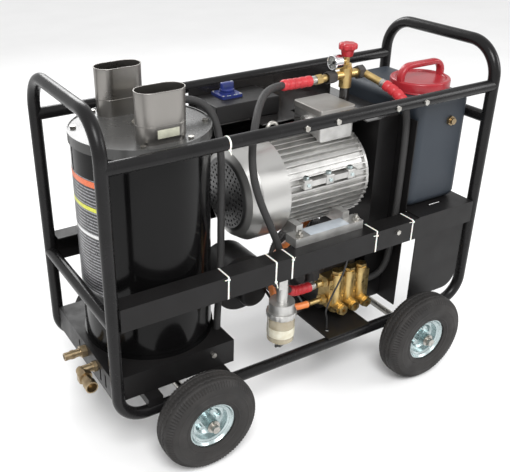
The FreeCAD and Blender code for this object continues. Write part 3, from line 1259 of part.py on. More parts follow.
if __name__ == "__main__":
    os.makedirs("parts", exist_ok=True)
    for name, shape in nodes().items():
        if not shape.isValid():
            print("invalid:", name)
        shape.exportStep("parts/" + name + ".step")
    print("frame length", FRAME_L, "width", FRAME_W)
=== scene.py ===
# %% [markdown]
# # A wheeled hot-water pressure washer
#
# The machine's frame, motor, pump, boiler and tank arrive as finished engineering solids that must
# not move. This notebook gives every one of them a real finish, and builds the parts whose
# charm lies in their surface: moulded tyres, ribbed hose grips, a screw cap, a knob, a gauge.
# Nearly every new shape is a grid of points worked out by numpy in one go, because then its formula
# can be read, changed and trusted, which a shape pushed about by hand can't.

# %% Load the fixed frame
import math

import bmesh
import bpy
import numpy as np
from mathutils import Matrix, Vector


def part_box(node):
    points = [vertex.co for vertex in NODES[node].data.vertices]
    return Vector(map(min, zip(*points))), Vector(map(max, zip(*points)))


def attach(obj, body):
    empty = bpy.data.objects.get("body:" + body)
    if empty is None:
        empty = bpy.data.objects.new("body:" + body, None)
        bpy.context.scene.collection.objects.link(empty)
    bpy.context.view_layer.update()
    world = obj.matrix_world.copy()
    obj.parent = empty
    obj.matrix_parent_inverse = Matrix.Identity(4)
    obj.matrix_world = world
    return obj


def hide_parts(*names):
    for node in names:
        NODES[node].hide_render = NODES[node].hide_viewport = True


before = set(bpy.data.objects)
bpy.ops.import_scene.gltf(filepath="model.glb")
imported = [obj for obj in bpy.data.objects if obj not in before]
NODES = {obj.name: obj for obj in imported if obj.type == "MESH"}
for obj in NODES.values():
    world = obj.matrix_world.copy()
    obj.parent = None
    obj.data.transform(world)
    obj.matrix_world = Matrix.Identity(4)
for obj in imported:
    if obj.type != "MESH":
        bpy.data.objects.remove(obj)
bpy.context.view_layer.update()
MM = 0.001
TUBE_R = 15.875 * MM
X_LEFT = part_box("frame_hoop_left")[0].x + TUBE_R
print("solids:", len(NODES), "left uprights at x =", round(X_LEFT, 4))


# %% [markdown]
# ## Grids of points
#
# A surface is a table of points: going down a column changes one parameter and going along a row
# changes the other. Joining each point to its neighbours gives the faces. Blender's own primitives
# would do for a plain rod, but a table can be bent, ribbed and chamfered by the same few lines.

# %% From a grid to a mesh piece
def at_uprights(point):
    """A place given in millimetres from the left uprights becomes a point of the frame, in metres."""
    return np.array(point, float) * MM + (X_LEFT, 0, 0)


def patch(points, wrap_rows=False, wrap_columns=True):
    """Points of shape (rows, columns, 3) and the four-sided faces between neighbours."""
    rows, columns = points.shape[:2]
    r = np.arange(rows if wrap_rows else rows - 1)[:, None]
    c = np.arange(columns if wrap_columns else columns - 1)[None, :]
    below, beside = (r + 1) % rows, (c + 1) % columns
    corners = (r * columns + c, r * columns + beside, below * columns + beside, below * columns + c)
    return points.reshape(-1, 3), np.stack(np.broadcast_arrays(*corners), -1).reshape(-1, 4)


def piece(name, patches, finish, body, crease=38, replaces=()):
    """Join patches into one closed mesh that rides on a body and takes a finish."""
    offsets = np.cumsum([0] + [len(points) for points, _ in patches])
    points = np.concatenate([points for points, _ in patches])
    faces = np.concatenate([faces + start for (_, faces), start in zip(patches, offsets)])
    mesh = bpy.data.meshes.new(name)
    mesh.from_pydata(points.tolist(), [], faces.tolist())
    work = bmesh.new()
    work.from_mesh(mesh)
    bmesh.ops.remove_doubles(work, verts=work.verts, dist=1e-6)
    bmesh.ops.dissolve_degenerate(work, dist=1e-7, edges=work.edges)
    bmesh.ops.recalc_face_normals(work, faces=work.faces)
    work.to_mesh(mesh)
    work.free()
    mesh.shade_smooth()
    mesh.set_sharp_from_angle(angle=math.radians(crease))
    made = bpy.data.objects.new(name, mesh)
    bpy.context.scene.collection.objects.link(made)
    made.data.materials.append(finish)
    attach(made, body)
    if replaces:
        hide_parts(*replaces)
    return made


# %% [markdown]
# ## Four ways to fill a grid
#
# A lathe turns an outline about a line. A sweep carries a cross-section along a path. A rounded box
# puts an eighth of a ball at each corner. A hexagon head is a disc whose radius depends on the angle.
# Every fitting, bolt and moulding below is one of these or a mix, so each is written once.

# %% Lathe, sweep, rounded box and hexagon head
def square_to(direction):
    """A unit direction and two more that are square to it and to each other."""
    way = np.array(direction, float) / np.linalg.norm(direction)
    helper = np.array((0, 0, 1.0) if abs(way[2]) < 0.9 else (1.0, 0, 0))
    side = np.cross(helper, way)
    side /= np.linalg.norm(side)
    return way, side, np.cross(way, side)


def turned(profile, at, direction, sides=64, ring=False, spread=None):
    """Lathe: point = start + along * way + radius * (cos t * side + sin t * other).
    spread is an optional table of factors, one for each (row, angle), that multiplies the radius."""
    way, side, other = square_to(direction)
    along, radius = np.array(profile, float).T[:, :, None]
    t = np.arange(sides) * 2 * np.pi / sides
    around = np.cos(t)[:, None] * side + np.sin(t)[:, None] * other
    reach = radius * (np.ones(sides) if spread is None else spread)
    points = np.array(at, float) + along[..., None] * way + reach[..., None] * around
    return patch(points, wrap_rows=ring)


def frames_along(path, lean=None):
    """Tangents of a path, with two directions square to them. Each is what is left of one fixed
    vector, the one the path turns towards least, once its share along the tangent is taken off."""
    tangent = np.gradient(path, axis=0)
    tangent /= np.linalg.norm(tangent, axis=1)[:, None]
    fixed = np.linalg.svd(tangent, full_matrices=True)[2][-1] if lean is None else np.array(lean, float)
    side = fixed - (tangent @ fixed)[:, None] * tangent
    side /= np.linalg.norm(side, axis=1)[:, None]
    return side, np.cross(tangent, side)


def swept(path, section, lean=None, scale=None):
    """Sweep: point = path + scale * (section_a * side + section_b * other), closed at both ends."""
    side, other = frames_along(path, lean)
    size = np.ones(len(path)) if scale is None else scale
    offsets = section[None, :, :1] * side[:, None] + section[None, :, 1:] * other[:, None]
    points = path[:, None] + offsets * size[:, None, None]
    first, last = np.repeat(path[:1, None], len(section), 1), np.repeat(path[-1:, None], len(section), 1)
    return patch(np.concatenate([first, points, last]))


def circle(radius, sides=20):
    t = np.arange(sides) * 2 * np.pi / sides
    return np.stack([radius * np.cos(t), radius * np.sin(t)], -1)


def superellipse(half_a, half_b, power=0.5, sides=32):
    """A rectangle with soft corners: each coordinate is a half size times a power of cos or sin."""
    t = np.arange(sides) * 2 * np.pi / sides
    c, s = np.cos(t), np.sin(t)
    return np.stack([half_a * np.sign(c) * abs(c) ** power, half_b * np.sign(s) * abs(s) ** power], -1)


def rounded_box(low, high, radius, steps=4):
    """A point is the centre of its corner's ball plus radius times a unit direction. The directions
    sweep a whole sphere, and the centre jumps to the next corner at each quarter turn."""
    low, high = np.array(low, float), np.array(high, float)
    half = (high - low) / 2 - radius
    quarter = np.linspace(0, np.pi / 2, steps + 1)
    turn = np.concatenate([quarter + k * np.pi / 2 for k in range(4)])
    corner = np.repeat([[1, 1], [-1, 1], [-1, -1], [1, -1]], steps + 1, axis=0) * half[:2]
    rise = np.concatenate([np.pi / 2 - quarter, -quarter])[:, None]
    level = np.repeat([1, -1], steps + 1)[:, None] * half[2]
    x = corner[:, 0] + radius * np.cos(rise) * np.cos(turn)
    y = corner[:, 1] + radius * np.cos(rise) * np.sin(turn)
    z = level + radius * np.sin(rise) + 0 * turn
    body = np.stack([x, y, z], -1)
    top, bottom = np.zeros_like(body[:1]), np.zeros_like(body[:1])
    top[..., 2], bottom[..., 2] = half[2] + radius, -half[2] - radius
    return patch(np.concatenate([top, body, bottom]) + (low + high) / 2)


def hex_head(at, direction, flats, height, sides=48, hollow=0.0):
    """A chamfered hexagon: its radius is half the flats over the cosine of the angle from the nearest
    flat's middle, and its corners drop away from the top at thirty degrees."""
    t = np.arange(sides) * 2 * np.pi / sides
    edge = flats / 2 / np.cos((t + np.pi / 6) % (np.pi / 3) - np.pi / 6)
    drop = (edge - flats / 2) * math.tan(math.radians(30))
    way, side, other = square_to(direction)
    around = np.cos(t)[:, None] * side + np.sin(t)[:, None] * other
    flat, zero = np.full(sides, flats / 2 * 0.96), np.zeros(sides)
    dish = np.full(sides, hollow / 2)
    rows = [(zero, zero), (edge, zero), (edge, height - drop), (flat, zero + height)]
    if hollow:
        rows += [(dish, zero + height), (dish, zero + height / 2), (zero, zero + height / 2)]
    else:
        rows += [(zero, zero + height)]
    points = [np.array(at, float) + rise[:, None] * way + reach[:, None] * around for reach, rise in rows]
    return patch(np.stack(points))


def arc(centre, radius, start, stop, steps=8):
    """(along, radius) points of an arc in a lathe outline, between two angles in degrees."""
    t = np.radians(np.linspace(start, stop, steps))
    return [(centre[0] + radius * math.cos(a), centre[1] + radius * math.sin(a)) for a in t]


# %% [markdown]
# ## A little language for finishes
#
# A finish is a shader with a few constants and a pattern. The constants sit on the shader's own
# sockets. The pattern is noise read in the object's own coordinates, so it stays on the piece as it
# turns. One helper adds a node and wires it, which keeps each recipe to the lines that differ.

# %% Node helpers
def add(tree, kind, settings=None, **inputs):
    """Add a shader node. An input is a constant or another node's output socket; _ stands for a space."""
    made = tree.nodes.new("ShaderNode" + kind)
    for key, value in (settings or {}).items():
        setattr(made, key, value)
    for key, value in inputs.items():
        numbered = key[0] == "i" and key[1:].isdigit()
        socket = made.inputs[int(key[1:]) if numbered else key.replace("_", " ")]
        if isinstance(value, bpy.types.NodeSocket):
            tree.links.new(value, socket)
        else:
            socket.default_value = value
    return made


def finish(name, base, roughness, metallic=0.0, **sockets):
    """A new principled material with its constants set."""
    material = bpy.data.materials.new(name)
    material.use_nodes = True
    shader = material.node_tree.nodes["Principled BSDF"]
    values = {"Base Color": (*base, 1), "Roughness": roughness, "Metallic": metallic}
    values.update({key.replace("_", " "): value for key, value in sockets.items()})
    for key, value in values.items():
        shader.inputs[key].default_value = value
    return material


def placed(tree, stretch=(1, 1, 1)):
    """Object coordinates, stretched to give a pattern a grain."""
    where = add(tree, "TexCoord")
    return add(tree, "Mapping", Vector=where.outputs["Object"], Scale=stretch).outputs["Vector"]


def mottle(material, other, scale, amount=1.0, stretch=(1, 1, 1), detail=6.0, low=0.35, high=0.7):
    """Blend the base colour towards another one where a noise is high."""
    tree = material.node_tree
    shader = tree.nodes["Principled BSDF"]
    noise = add(tree, "TexNoise", Vector=placed(tree, stretch), Scale=scale, Detail=detail)
    share = add(tree, "MapRange", Value=noise.outputs["Fac"], From_Min=low, From_Max=high, To_Max=amount)
    base = tuple(shader.inputs["Base Color"].default_value)
    blend = add(tree, "Mix", {"data_type": "RGBA"}, i0=share.outputs["Result"], i6=base, i7=(*other, 1))
    tree.links.new(blend.outputs[2], shader.inputs["Base Color"])
    return material


def uneven_gloss(material, low, high, scale, stretch=(1, 1, 1)):
    """Let the roughness wander between two values."""
    tree = material.node_tree
    noise = add(tree, "TexNoise", Vector=placed(tree, stretch), Scale=scale, Detail=5.0)
    wander = add(tree, "MapRange", Value=noise.outputs["Fac"], From_Min=0.3, From_Max=0.7,
                 To_Min=low, To_Max=high)
    tree.links.new(wander.outputs["Result"], tree.nodes["Principled BSDF"].inputs["Roughness"])
    return material


def grain(material, scale, depth, strength=0.5, stretch=(1, 1, 1), detail=3.0):
    """A fine relief from noise, added under any relief that the material has."""
    tree = material.node_tree
    shader = tree.nodes["Principled BSDF"]
    noise = add(tree, "TexNoise", Vector=placed(tree, stretch), Scale=scale, Detail=detail)
    bump = add(tree, "Bump", Height=noise.outputs["Fac"], Distance=depth, Strength=strength)
    below = shader.inputs["Normal"].links
    if below:
        tree.links.new(below[0].from_socket, bump.inputs["Normal"])
    tree.links.new(bump.outputs["Normal"], shader.inputs["Normal"])
    return material


# %% [markdown]
# ## Paints and platings
#
# The cage is powder coated: nearly black, half gloss, with a faint orange-peel skin that breaks up
# its long highlights. The boiler's enamel is smoother and so more mirror-like. A dark finish must
# keep a little lightness and some wandering gloss, or its shape is lost against its own shadows.

# %% Painted and plated metals
def powder_black(name, base=(0.006, 0.0058, 0.006), low=0.2, high=0.32):
    made = finish(name, base, 0.3, Specular_IOR_Level=0.2)
    mottle(made, (0.011, 0.0105, 0.011), 14, 0.5)
    uneven_gloss(made, low, high, 22)
    return grain(made, 700, 0.0004, 0.35)


CAGE_BLACK = powder_black("cage black")
SHEET_BLACK = powder_black("sheet black", (0.0075, 0.007, 0.007), 0.34, 0.48)
BOILER_ENAMEL = grain(uneven_gloss(finish(
    "boiler enamel", (0.003, 0.0029, 0.003), 0.1, Specular_IOR_Level=0.16), 0.1, 0.2, 8), 30, 0.0008, 0.12)
LID_ENAMEL = grain(uneven_gloss(finish(
    "lid enamel", (0.045, 0.045, 0.044), 0.24, Specular_IOR_Level=0.4), 0.2, 0.32, 10), 40, 0.0006, 0.1)
DECK_GLOSS = uneven_gloss(mottle(finish(
    "deck gloss", (0.01, 0.0095, 0.0095), 0.1, Specular_IOR_Level=0.55, Coat_Weight=0.4,
    Coat_Roughness=0.05), (0.022, 0.019, 0.018), 9, 0.6), 0.08, 0.18, 12)
BRUSHED_STEEL = grain(uneven_gloss(mottle(finish(
    "brushed stainless", (0.34, 0.325, 0.305), 0.3, 1.0, Anisotropic=0.4),
    (0.2, 0.19, 0.18), 6, 0.5, (1, 1, 0.2)), 0.26, 0.42, 9), 260, 0.0003, 0.35, (1, 1, 0.03))
ZINC = grain(uneven_gloss(mottle(finish(
    "zinc plate", (0.5, 0.58, 0.585), 0.25, 1.0), (0.34, 0.4, 0.405), 40, 0.6),
    0.18, 0.4, 60), 300, 0.0002, 0.3)
BOLT_ZINC = uneven_gloss(mottle(finish(
    "bolt zinc", (0.5, 0.49, 0.46), 0.3, 1.0), (0.25, 0.23, 0.2), 120, 0.7), 0.25, 0.45, 150)
CHROME = uneven_gloss(finish("chrome", (0.75, 0.75, 0.76), 0.08, 1.0), 0.05, 0.14, 90)
IRON = grain(mottle(finish(
    "dark iron", (0.05, 0.05, 0.052), 0.45, 0.6), (0.09, 0.08, 0.075), 50), 400, 0.0004)
print("painted and plated finishes:", len(bpy.data.materials))


# %% [markdown]
# ## Castings, brass and mouldings
#
# Cast aluminium is bright but never smooth: a sandy relief scatters its highlights. Brass has a
# second, browner colour where hands and water have been. Moulded plastics take a fine pebble, and
# rubber is the dullest of all, with a grey bloom.

# %% Cast, turned and moulded finishes
CAST_ALUMINIUM = grain(uneven_gloss(mottle(finish(
    "cast aluminium", (0.56, 0.555, 0.54), 0.4, 0.9), (0.34, 0.335, 0.325), 30, 0.6), 0.32, 0.5, 40),
    520, 0.0006, 0.5)
LID_ALUMINIUM = grain(uneven_gloss(mottle(finish(
    "lid aluminium", (0.26, 0.25, 0.235), 0.4, 0.6), (0.19, 0.18, 0.168), 18, 0.7),
    0.35, 0.5, 25), 500, 0.0004, 0.4)
BRASS = grain(uneven_gloss(mottle(finish(
    "brass", (0.58, 0.43, 0.19), 0.32, 1.0), (0.4, 0.28, 0.11), 45, 0.6), 0.26, 0.5, 70), 380, 0.0003, 0.4)
DULL_BRASS = grain(uneven_gloss(mottle(finish(
    "dull brass", (0.36, 0.28, 0.17), 0.4, 1.0), (0.18, 0.13, 0.08), 60, 0.8),
    0.28, 0.5, 70), 420, 0.0003, 0.5)
CAP_RED = grain(mottle(finish(
    "cap red", (0.32, 0.018, 0.026), 0.3, Specular_IOR_Level=0.5, Subsurface_Weight=0.05),
    (0.25, 0.014, 0.02), 12, 0.6), 500, 0.0002, 0.3)
KNOB_RED = grain(mottle(finish(
    "knob red", (0.4, 0.016, 0.024), 0.35), (0.3, 0.011, 0.017), 40), 600, 0.0002, 0.3)
GRIP_RED = grain(mottle(finish(
    "grip red", (0.48, 0.022, 0.03), 0.42), (0.37, 0.016, 0.022), 25), 500, 0.0003, 0.4)
SWITCH_BLUE = grain(mottle(finish(
    "switch blue", (0.012, 0.022, 0.15), 0.35), (0.02, 0.03, 0.1), 60), 700, 0.0002, 0.3)
TANK_SLATE = grain(uneven_gloss(mottle(finish(
    "tank slate", (0.02, 0.027, 0.036), 0.45, Specular_IOR_Level=0.35), (0.029, 0.035, 0.044), 7, 0.8),
    0.38, 0.55, 14), 420, 0.0005, 0.5)
DARK_PLASTIC = grain(finish("dark plastic", (0.02, 0.02, 0.021), 0.45), 650, 0.0003, 0.5)
TIE_NYLON = grain(mottle(finish(
    "tie nylon", (0.78, 0.77, 0.72), 0.45, Subsurface_Weight=0.2, Subsurface_Scale=0.002),
    (0.66, 0.65, 0.6), 90), 900, 0.0001, 0.3)
TYRE_RUBBER = grain(uneven_gloss(mottle(finish(
    "tyre rubber", (0.016, 0.015, 0.0145), 0.65, Specular_IOR_Level=0.3), (0.03, 0.0275, 0.026), 16, 0.8),
    0.55, 0.75, 30), 600, 0.0004, 0.5)
HOSE_BLACK = finish("hose black", (0.012, 0.012, 0.013), 0.5, Specular_IOR_Level=0.3)
HOSE_ORANGE = grain(mottle(finish(
    "hose orange", (0.78, 0.26, 0.075), 0.35, Subsurface_Weight=0.08, Subsurface_Scale=0.004),
    (0.6, 0.17, 0.05), 22), 500, 0.0002, 0.3)
WIRE_BLACK = grain(mottle(finish(
    "wire black", (0.013, 0.013, 0.014), 0.4), (0.03, 0.03, 0.03), 60), 700, 0.0002)
PAPER = mottle(finish("blank plate", (0.5, 0.54, 0.58), 0.35, 0.3), (0.42, 0.46, 0.5), 30)
BOWL_PLASTIC = uneven_gloss(mottle(finish(
    "bowl plastic", (0.7, 0.64, 0.5), 0.2, Transmission_Weight=0.55, IOR=1.45),
    (0.5, 0.42, 0.28), 30, 0.8), 0.12, 0.3, 40)
GLASS = uneven_gloss(finish(
    "gauge glass", (0.96, 0.97, 0.98), 0.03, Transmission_Weight=1.0, IOR=1.3), 0.02, 0.05, 60)
DIAL_WHITE = mottle(finish("dial white", (0.5, 0.5, 0.47), 0.5), (0.42, 0.42, 0.39), 80)
print("all finishes:", len(bpy.data.materials))


# %% [markdown]
# ## A weave for the pressure hose
#
# High-pressure hose has a wrapped cloth cover that shows as fine slanting ridges. A pattern in space
# would slide across a bent hose, so this one reads the tube's own map: once round for one unit, and
# along it in metres. Two slanted waves crossing make the lozenges.

# %% The woven cover
def weave(material, along=420.0, around=14.0):
    tree = material.node_tree
    shader = tree.nodes["Principled BSDF"]
    where = add(tree, "TexCoord").outputs["UV"]
    ridges = []
    for lean in (-1, 1):
        turned_map = add(tree, "Mapping", Vector=where, Scale=(around * lean, along, 1))
        both = add(tree, "SeparateXYZ", Vector=turned_map.outputs["Vector"])
        total = add(tree, "Math", {"operation": "ADD"}, i0=both.outputs["X"], i1=both.outputs["Y"])
        angle = add(tree, "Math", {"operation": "MULTIPLY"}, i0=total.outputs[0], i1=2 * math.pi)
        ridges.append(add(tree, "Math", {"operation": "SINE"}, i0=angle.outputs[0]).outputs[0])
    height = add(tree, "Math", {"operation": "MAXIMUM"}, i0=ridges[0], i1=ridges[1])
    bump = add(tree, "Bump", Height=height.outputs[0], Distance=0.0005, Strength=0.6)
    tree.links.new(bump.outputs["Normal"], shader.inputs["Normal"])
    # The highest parts of the ridges are blended towards a lighter grey: a painted highlight on the weave's
    # raised tops.
    share = add(tree, "MapRange", Value=height.outputs[0], From_Min=0.2, From_Max=1.0, To_Max=0.7)
    blend = add(tree, "Mix", {"data_type": "RGBA"}, i0=share.outputs["Result"],
                i6=tuple(shader.inputs["Base Color"].default_value), i7=(0.06, 0.058, 0.056, 1))
    tree.links.new(blend.outputs[2], shader.inputs["Base Color"])
    return material


weave(HOSE_BLACK)


# %% [markdown]
# ## Finishes on the engineering solids
#
# Most of the frame's solids already have their true shape, so they only change material. The table
# below reads like a parts list: a finish, then the solids that wear it.

# %% Give the CAD solids their finishes
WEARS = {
    CAGE_BLACK: ("frame_hoop_left", "frame_hoop_right", "top_rails", "cross_tubes"),
    SHEET_BLACK: ("mid_channels", "base_tray", "cross_plates", "side_panel", "belt_guard", "control_box",
                  "burner_housing", "burner_motor"),
    BOILER_ENAMEL: ("boiler_shell",), LID_ENAMEL: ("boiler_lid",), DECK_GLOSS: ("deck",),
    BOLT_ZINC: ("axles", "hex_bolts", "lifting_eye", "lid_fitting"),
    CAST_ALUMINIUM: ("motor_frame", "terminal_box"), LID_ALUMINIUM: ("terminal_lid",),
    ZINC: ("motor_shaft", "crankshaft", "burner_fan"),
    IRON: ("motor_pulley", "pump_pulley", "pump_crankcase"),
    BRASS: ("pump_manifold", "unloader_body", "valve_caps"), DULL_BRASS: ("brass_fittings", "inlet_swivel"),
    TANK_SLATE: ("tank",), DARK_PLASTIC: ("motor_fan", "drive_belt", "gauge_needle", "filter_drain"),
    CHROME: ("gauge_case",), BRUSHED_STEEL: ("flues",), TYRE_RUBBER: (), SWITCH_BLUE: ("switch_base",),
    BOWL_PLASTIC: ("filter_bowl",), CAP_RED: ("tank_cap",), KNOB_RED: ("unloader_knob",),
}
for material, names in WEARS.items():
    for name in names:
        NODES[name].material_slots[0].material = material


# %% [markdown]
# ## Hoses that hang like hoses
#
# A hose is stiff, so its line must turn evenly. A line joined from straights and arcs looks like bent
# wire, so the line here is a smooth spline steered by a few chosen points. The tube round it is a
# grid: one direction goes round, the other goes along, and the map that the weave reads is made of
# the same two numbers. Plain hoses and wires need no map, so they stay curves with a round bevel.

# %% Routes, in millimetres from the left uprights, and their smooth lines in metres
PRESSURE_ROUTE = at_uprights([
    (711, 10, 850), (660, 10, 850), (612, 4, 854), (562, -14, 861), (510, -48, 863), (460, -96, 852),
    (420, -140, 820), (400, -160, 764), (406, -163, 694), (430, -162, 624), (462, -161, 554),
    (490, -160, 492), (506, -160, 434), (514, -156, 384), (526, -149, 345), (556, -139, 318),
    (600, -122, 300), (648, -122, 300)])
RETURN_ROUTE = at_uprights([
    (888, -48, 831), (897.5, -77, 821.5), (903, -122, 802), (901, -146, 768), (900, -152, 700),
    (900, -152, 600), (899, -152, 500), (898, -150, 420), (899, -143, 340), (896, -134, 296),
    (886, -125, 272), (866, -122, 262), (842, -122, 262)])
COIL_ROUTE = at_uprights([
    (231, 6, 872), (264, 6, 872), (304, 0, 870), (346, -18, 860), (372, -38, 824), (376, -60, 752),
    (366, -78, 664), (360, -88, 570), (354, -98, 480), (348, -104, 400), (338, -112, 336),
    (330, -120, 298), (330, -120, 266)])
SUPPLY_ROUTE = at_uprights([
    (628, -122, 243), (590, -124, 246), (552, -130, 262), (520, -133, 288), (500, -133, 322),
    (492, -130, 362), (498, -118, 398), (524, -94, 416), (575, -55, 406), (640, -5, 388),
    (705, 50, 368), (760, 100, 352), (804, 130, 348), (838, 138, 374), (852, 138, 420),
    (860, 138, 468), (874, 138, 510), (896, 138, 530), (924, 138, 530)])
FUEL_ROUTE = at_uprights([
    (516, -48, 300), (516, -74, 300), (526, -98, 270), (550, -110, 226), (600, -106, 212),
    (645, -88, 206), (668, -45, 204), (673, 15, 206), (678, 72, 214), (705, 110, 226),
    (760, 132, 234), (815, 148, 264), (850, 157, 330), (868, 160, 420), (878, 158, 500),
    (894, 150, 546), (909, 142, 562), (924, 142, 562)])
CABLE_ROUTE = at_uprights([
    (694, -198, 424), (694, -198, 392), (675, -197, 345), (652, -194, 298), (640, -188, 252),
    (662, -174, 214), (662, -174, 179.25)])
HOSE_D, SUPPLY_D, FUEL_D, CABLE_D = 19 * MM, 20 * MM, 8 * MM, 5 * MM


def spline_of(name, route, diameter=0.0):
    """A curve with one smooth spline whose control points are the route's own points."""
    data = bpy.data.curves.new(name, "CURVE")
    data.dimensions, data.resolution_u = "3D", 10
    data.bevel_depth, data.bevel_resolution, data.use_fill_caps = diameter / 2, 6, True
    spline = data.splines.new("NURBS")
    spline.points.add(len(route) - 1)
    spline.points.foreach_set("co", np.column_stack([route, np.ones(len(route))]).ravel())
    spline.order_u = 3
    spline.use_endpoint_u = True
    return bpy.data.objects.new(name, data)


def line_of(route):
    """Closely spaced points read from the route's smooth spline."""
    holder = spline_of("line", route)
    mesh = bpy.data.meshes.new_from_object(holder)
    points = np.empty(3 * len(mesh.vertices))
    mesh.vertices.foreach_get("co", points)
    bpy.data.meshes.remove(mesh)
    bpy.data.curves.remove(holder.data)
    return points.reshape(-1, 3)


def run_of(line):
    """Distance gone at each point of a line."""
    return np.concatenate([[0], np.cumsum(np.linalg.norm(np.diff(line, axis=0), axis=1))])


def stretch_of(line, start, stop, count):
    """Evenly spaced points of a line between two distances along it."""
    where = np.linspace(start, stop, count)
    return np.stack([np.interp(where, run_of(line), line[:, k]) for k in range(3)], -1)


# %% Woven pressure hoses
def woven_hose(name, route, diameter, sides=28):
    """Tube: point = line + radius * (cos t * side + sin t * other). Its map is once round and metres."""
    line = line_of(route)
    side, other = frames_along(line)
    section = circle(diameter / 2, sides)
    points = line[:, None] + section[None, :, :1] * side[:, None] + section[None, :, 1:] * other[:, None]
    vertices, quads = patch(points)
    rows = len(line)
    ends = [list(range(sides))[::-1], list(range((rows - 1) * sides, rows * sides))]
    mesh = bpy.data.meshes.new(name)
    mesh.from_pydata(vertices.tolist(), [], quads.tolist() + ends)
    r, c = np.divmod(np.arange(len(quads)), sides)
    gone = run_of(line)
    round_it = np.stack([c, c + 1, c + 1, c], -1) / sides
    along_it = gone[np.stack([r, r, r + 1, r + 1], -1)]
    caps = np.zeros((2 * sides, 2))
    chart = np.concatenate([np.stack([round_it, along_it], -1).reshape(-1, 2), caps])
    mesh.uv_layers.new(name="UVMap").uv.foreach_set("vector", chart.ravel())
    mesh.shade_smooth()
    mesh.set_sharp_from_angle(angle=math.radians(50))
    mesh.materials.append(HOSE_BLACK)
    return bpy.data.objects.new(name, mesh), line


def join_cord(hose, line, node):
    """Hang a hose in the frame and hide the solid that it replaces; the line passed in is not used."""
    if hose.name not in bpy.context.scene.collection.objects:
        bpy.context.scene.collection.objects.link(hose)
    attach(hose, "frame")
    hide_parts(node)


# %% [markdown]
# ## Red sleeves and bright ferrules
#
# Where a hose meets a fitting it is crimped into a steel ferrule, and a soft red sleeve keeps it from
# kinking. The sleeve is a sweep along the hose's own line whose size swells in five soft lobes.

# %% Grips and ferrules
def grip(name, line, start, length, lobes=5):
    """Sweep a circle along the hose. Its radius is 15 mm less a dip between lobes, the fourth power of
    a cosine, and it tapers at the far end."""
    path = stretch_of(line, start, start + length, 80)
    t = np.linspace(0, 1, 80)
    lobe = 1 - 0.1 * np.cos(np.pi * lobes * t) ** 8
    taper = np.clip((1 - t) / 0.07, 0, 1) ** 0.4 * np.clip(t / 0.03, 0, 1) ** 0.3
    size = (0.66 + 0.34 * taper) * lobe
    return piece(name, [swept(path, circle(14.6 * MM, 32), scale=size)], GRIP_RED, "frame",
                 replaces=("hose_grips",))


def ferrule(name, line, length):
    """A crimped steel sleeve: a lathe outline with two grooves, along the hose's first straight."""
    outline = [(0, 0), (0, 11.2), (1, 11.8), (4, 11.8), (4.8, 10.9), (6, 10.9), (6.8, 11.8), (9, 11.8),
               (9.8, 10.9), (11, 10.9), (11.8, 11.8), (length, 11.8), (length, 0)]
    return piece(name, [turned(np.array(outline) * MM, line[0], line[1] - line[0], 40)], BOLT_ZINC, "frame")


pressure, pressure_line = woven_hose("pressure_hose", PRESSURE_ROUTE, HOSE_D)
returning, return_line = woven_hose("return_hose", RETURN_ROUTE, HOSE_D)
coil, coil_line = woven_hose("coil_hose", COIL_ROUTE, HOSE_D)
pressure_sleeves = [grip("pressure_grip", pressure_line, 0.014, 0.105),
                    grip("pump_grip", pressure_line[::-1], 0.014, 0.1),
                    ferrule("pressure_ferrule", pressure_line, 15),
                    ferrule("pump_ferrule", pressure_line[::-1], 15)]
return_sleeves = [grip("return_grip", return_line, 0.012, 0.1), ferrule("return_ferrule", return_line, 13)]
coil_sleeves = [ferrule("coil_ferrule", coil_line, 22)]
join_cord(pressure, pressure_line, "pressure_hoses")
join_cord(returning, return_line, "pressure_hoses")
join_cord(coil, coil_line, "pressure_hoses")

# %% Orange supply hose, fuel line and cable
for name, route, diameter, material, node, slot, stiffness in (
        ("supply_hose_soft", SUPPLY_ROUTE, SUPPLY_D, HOSE_ORANGE, "supply_hose", "hose_orange", "medium"),
        ("fuel_line", FUEL_ROUTE, FUEL_D, WIRE_BLACK, "thin_lines", "hose_black", "medium"),
        ("plate_cable", CABLE_ROUTE, CABLE_D, WIRE_BLACK, "thin_lines", "hose_black", "limp")):
    soft = spline_of(name, route, diameter)
    soft.data.materials.append(material)
    join_cord(soft, line_of(route), node)


# %% [markdown]
# ## Tyres
#
# A pneumatic tyre is a lathe shape whose outside is cut by a tread. The section is a squared-off
# ellipse over the bead. The tread is a table of cuts, one number for each point of the grid: fine
# ribs across both shoulders and three zigzag grooves round the middle.

# %% Tyre section and tread
TYRE_R, FLANGE_R, TYRE_HALF, RIBS, ZIGZAGS = 132.5, 63.5, 39.0, 92, 46


def tyre_section(rows=81):
    """(across, radius): both are half sizes times a power of a sine or cosine, with moulded rings."""
    t = np.linspace(-np.pi / 2, np.pi / 2, rows)
    across = TYRE_HALF * np.sign(np.sin(t)) * abs(np.sin(t)) ** 0.62
    radius = FLANGE_R + 22 + (TYRE_R - FLANGE_R - 22) * np.cos(t).clip(0) ** 0.62
    for at in (118.0, 100.0):
        across += 0.9 * np.sign(across) * np.exp(-((radius - at) / 1.4) ** 2) * (abs(across) > 20)
    inner = [(36, 77), (36.6, 74), (34.5, 71.5), (32, 64.1), (24, 64.1), (22, 53.5), (18, 51.5)]
    inner += [(-a, r) for a, r in inner[::-1]]
    return np.concatenate([np.stack([across, radius], -1), inner]), rows


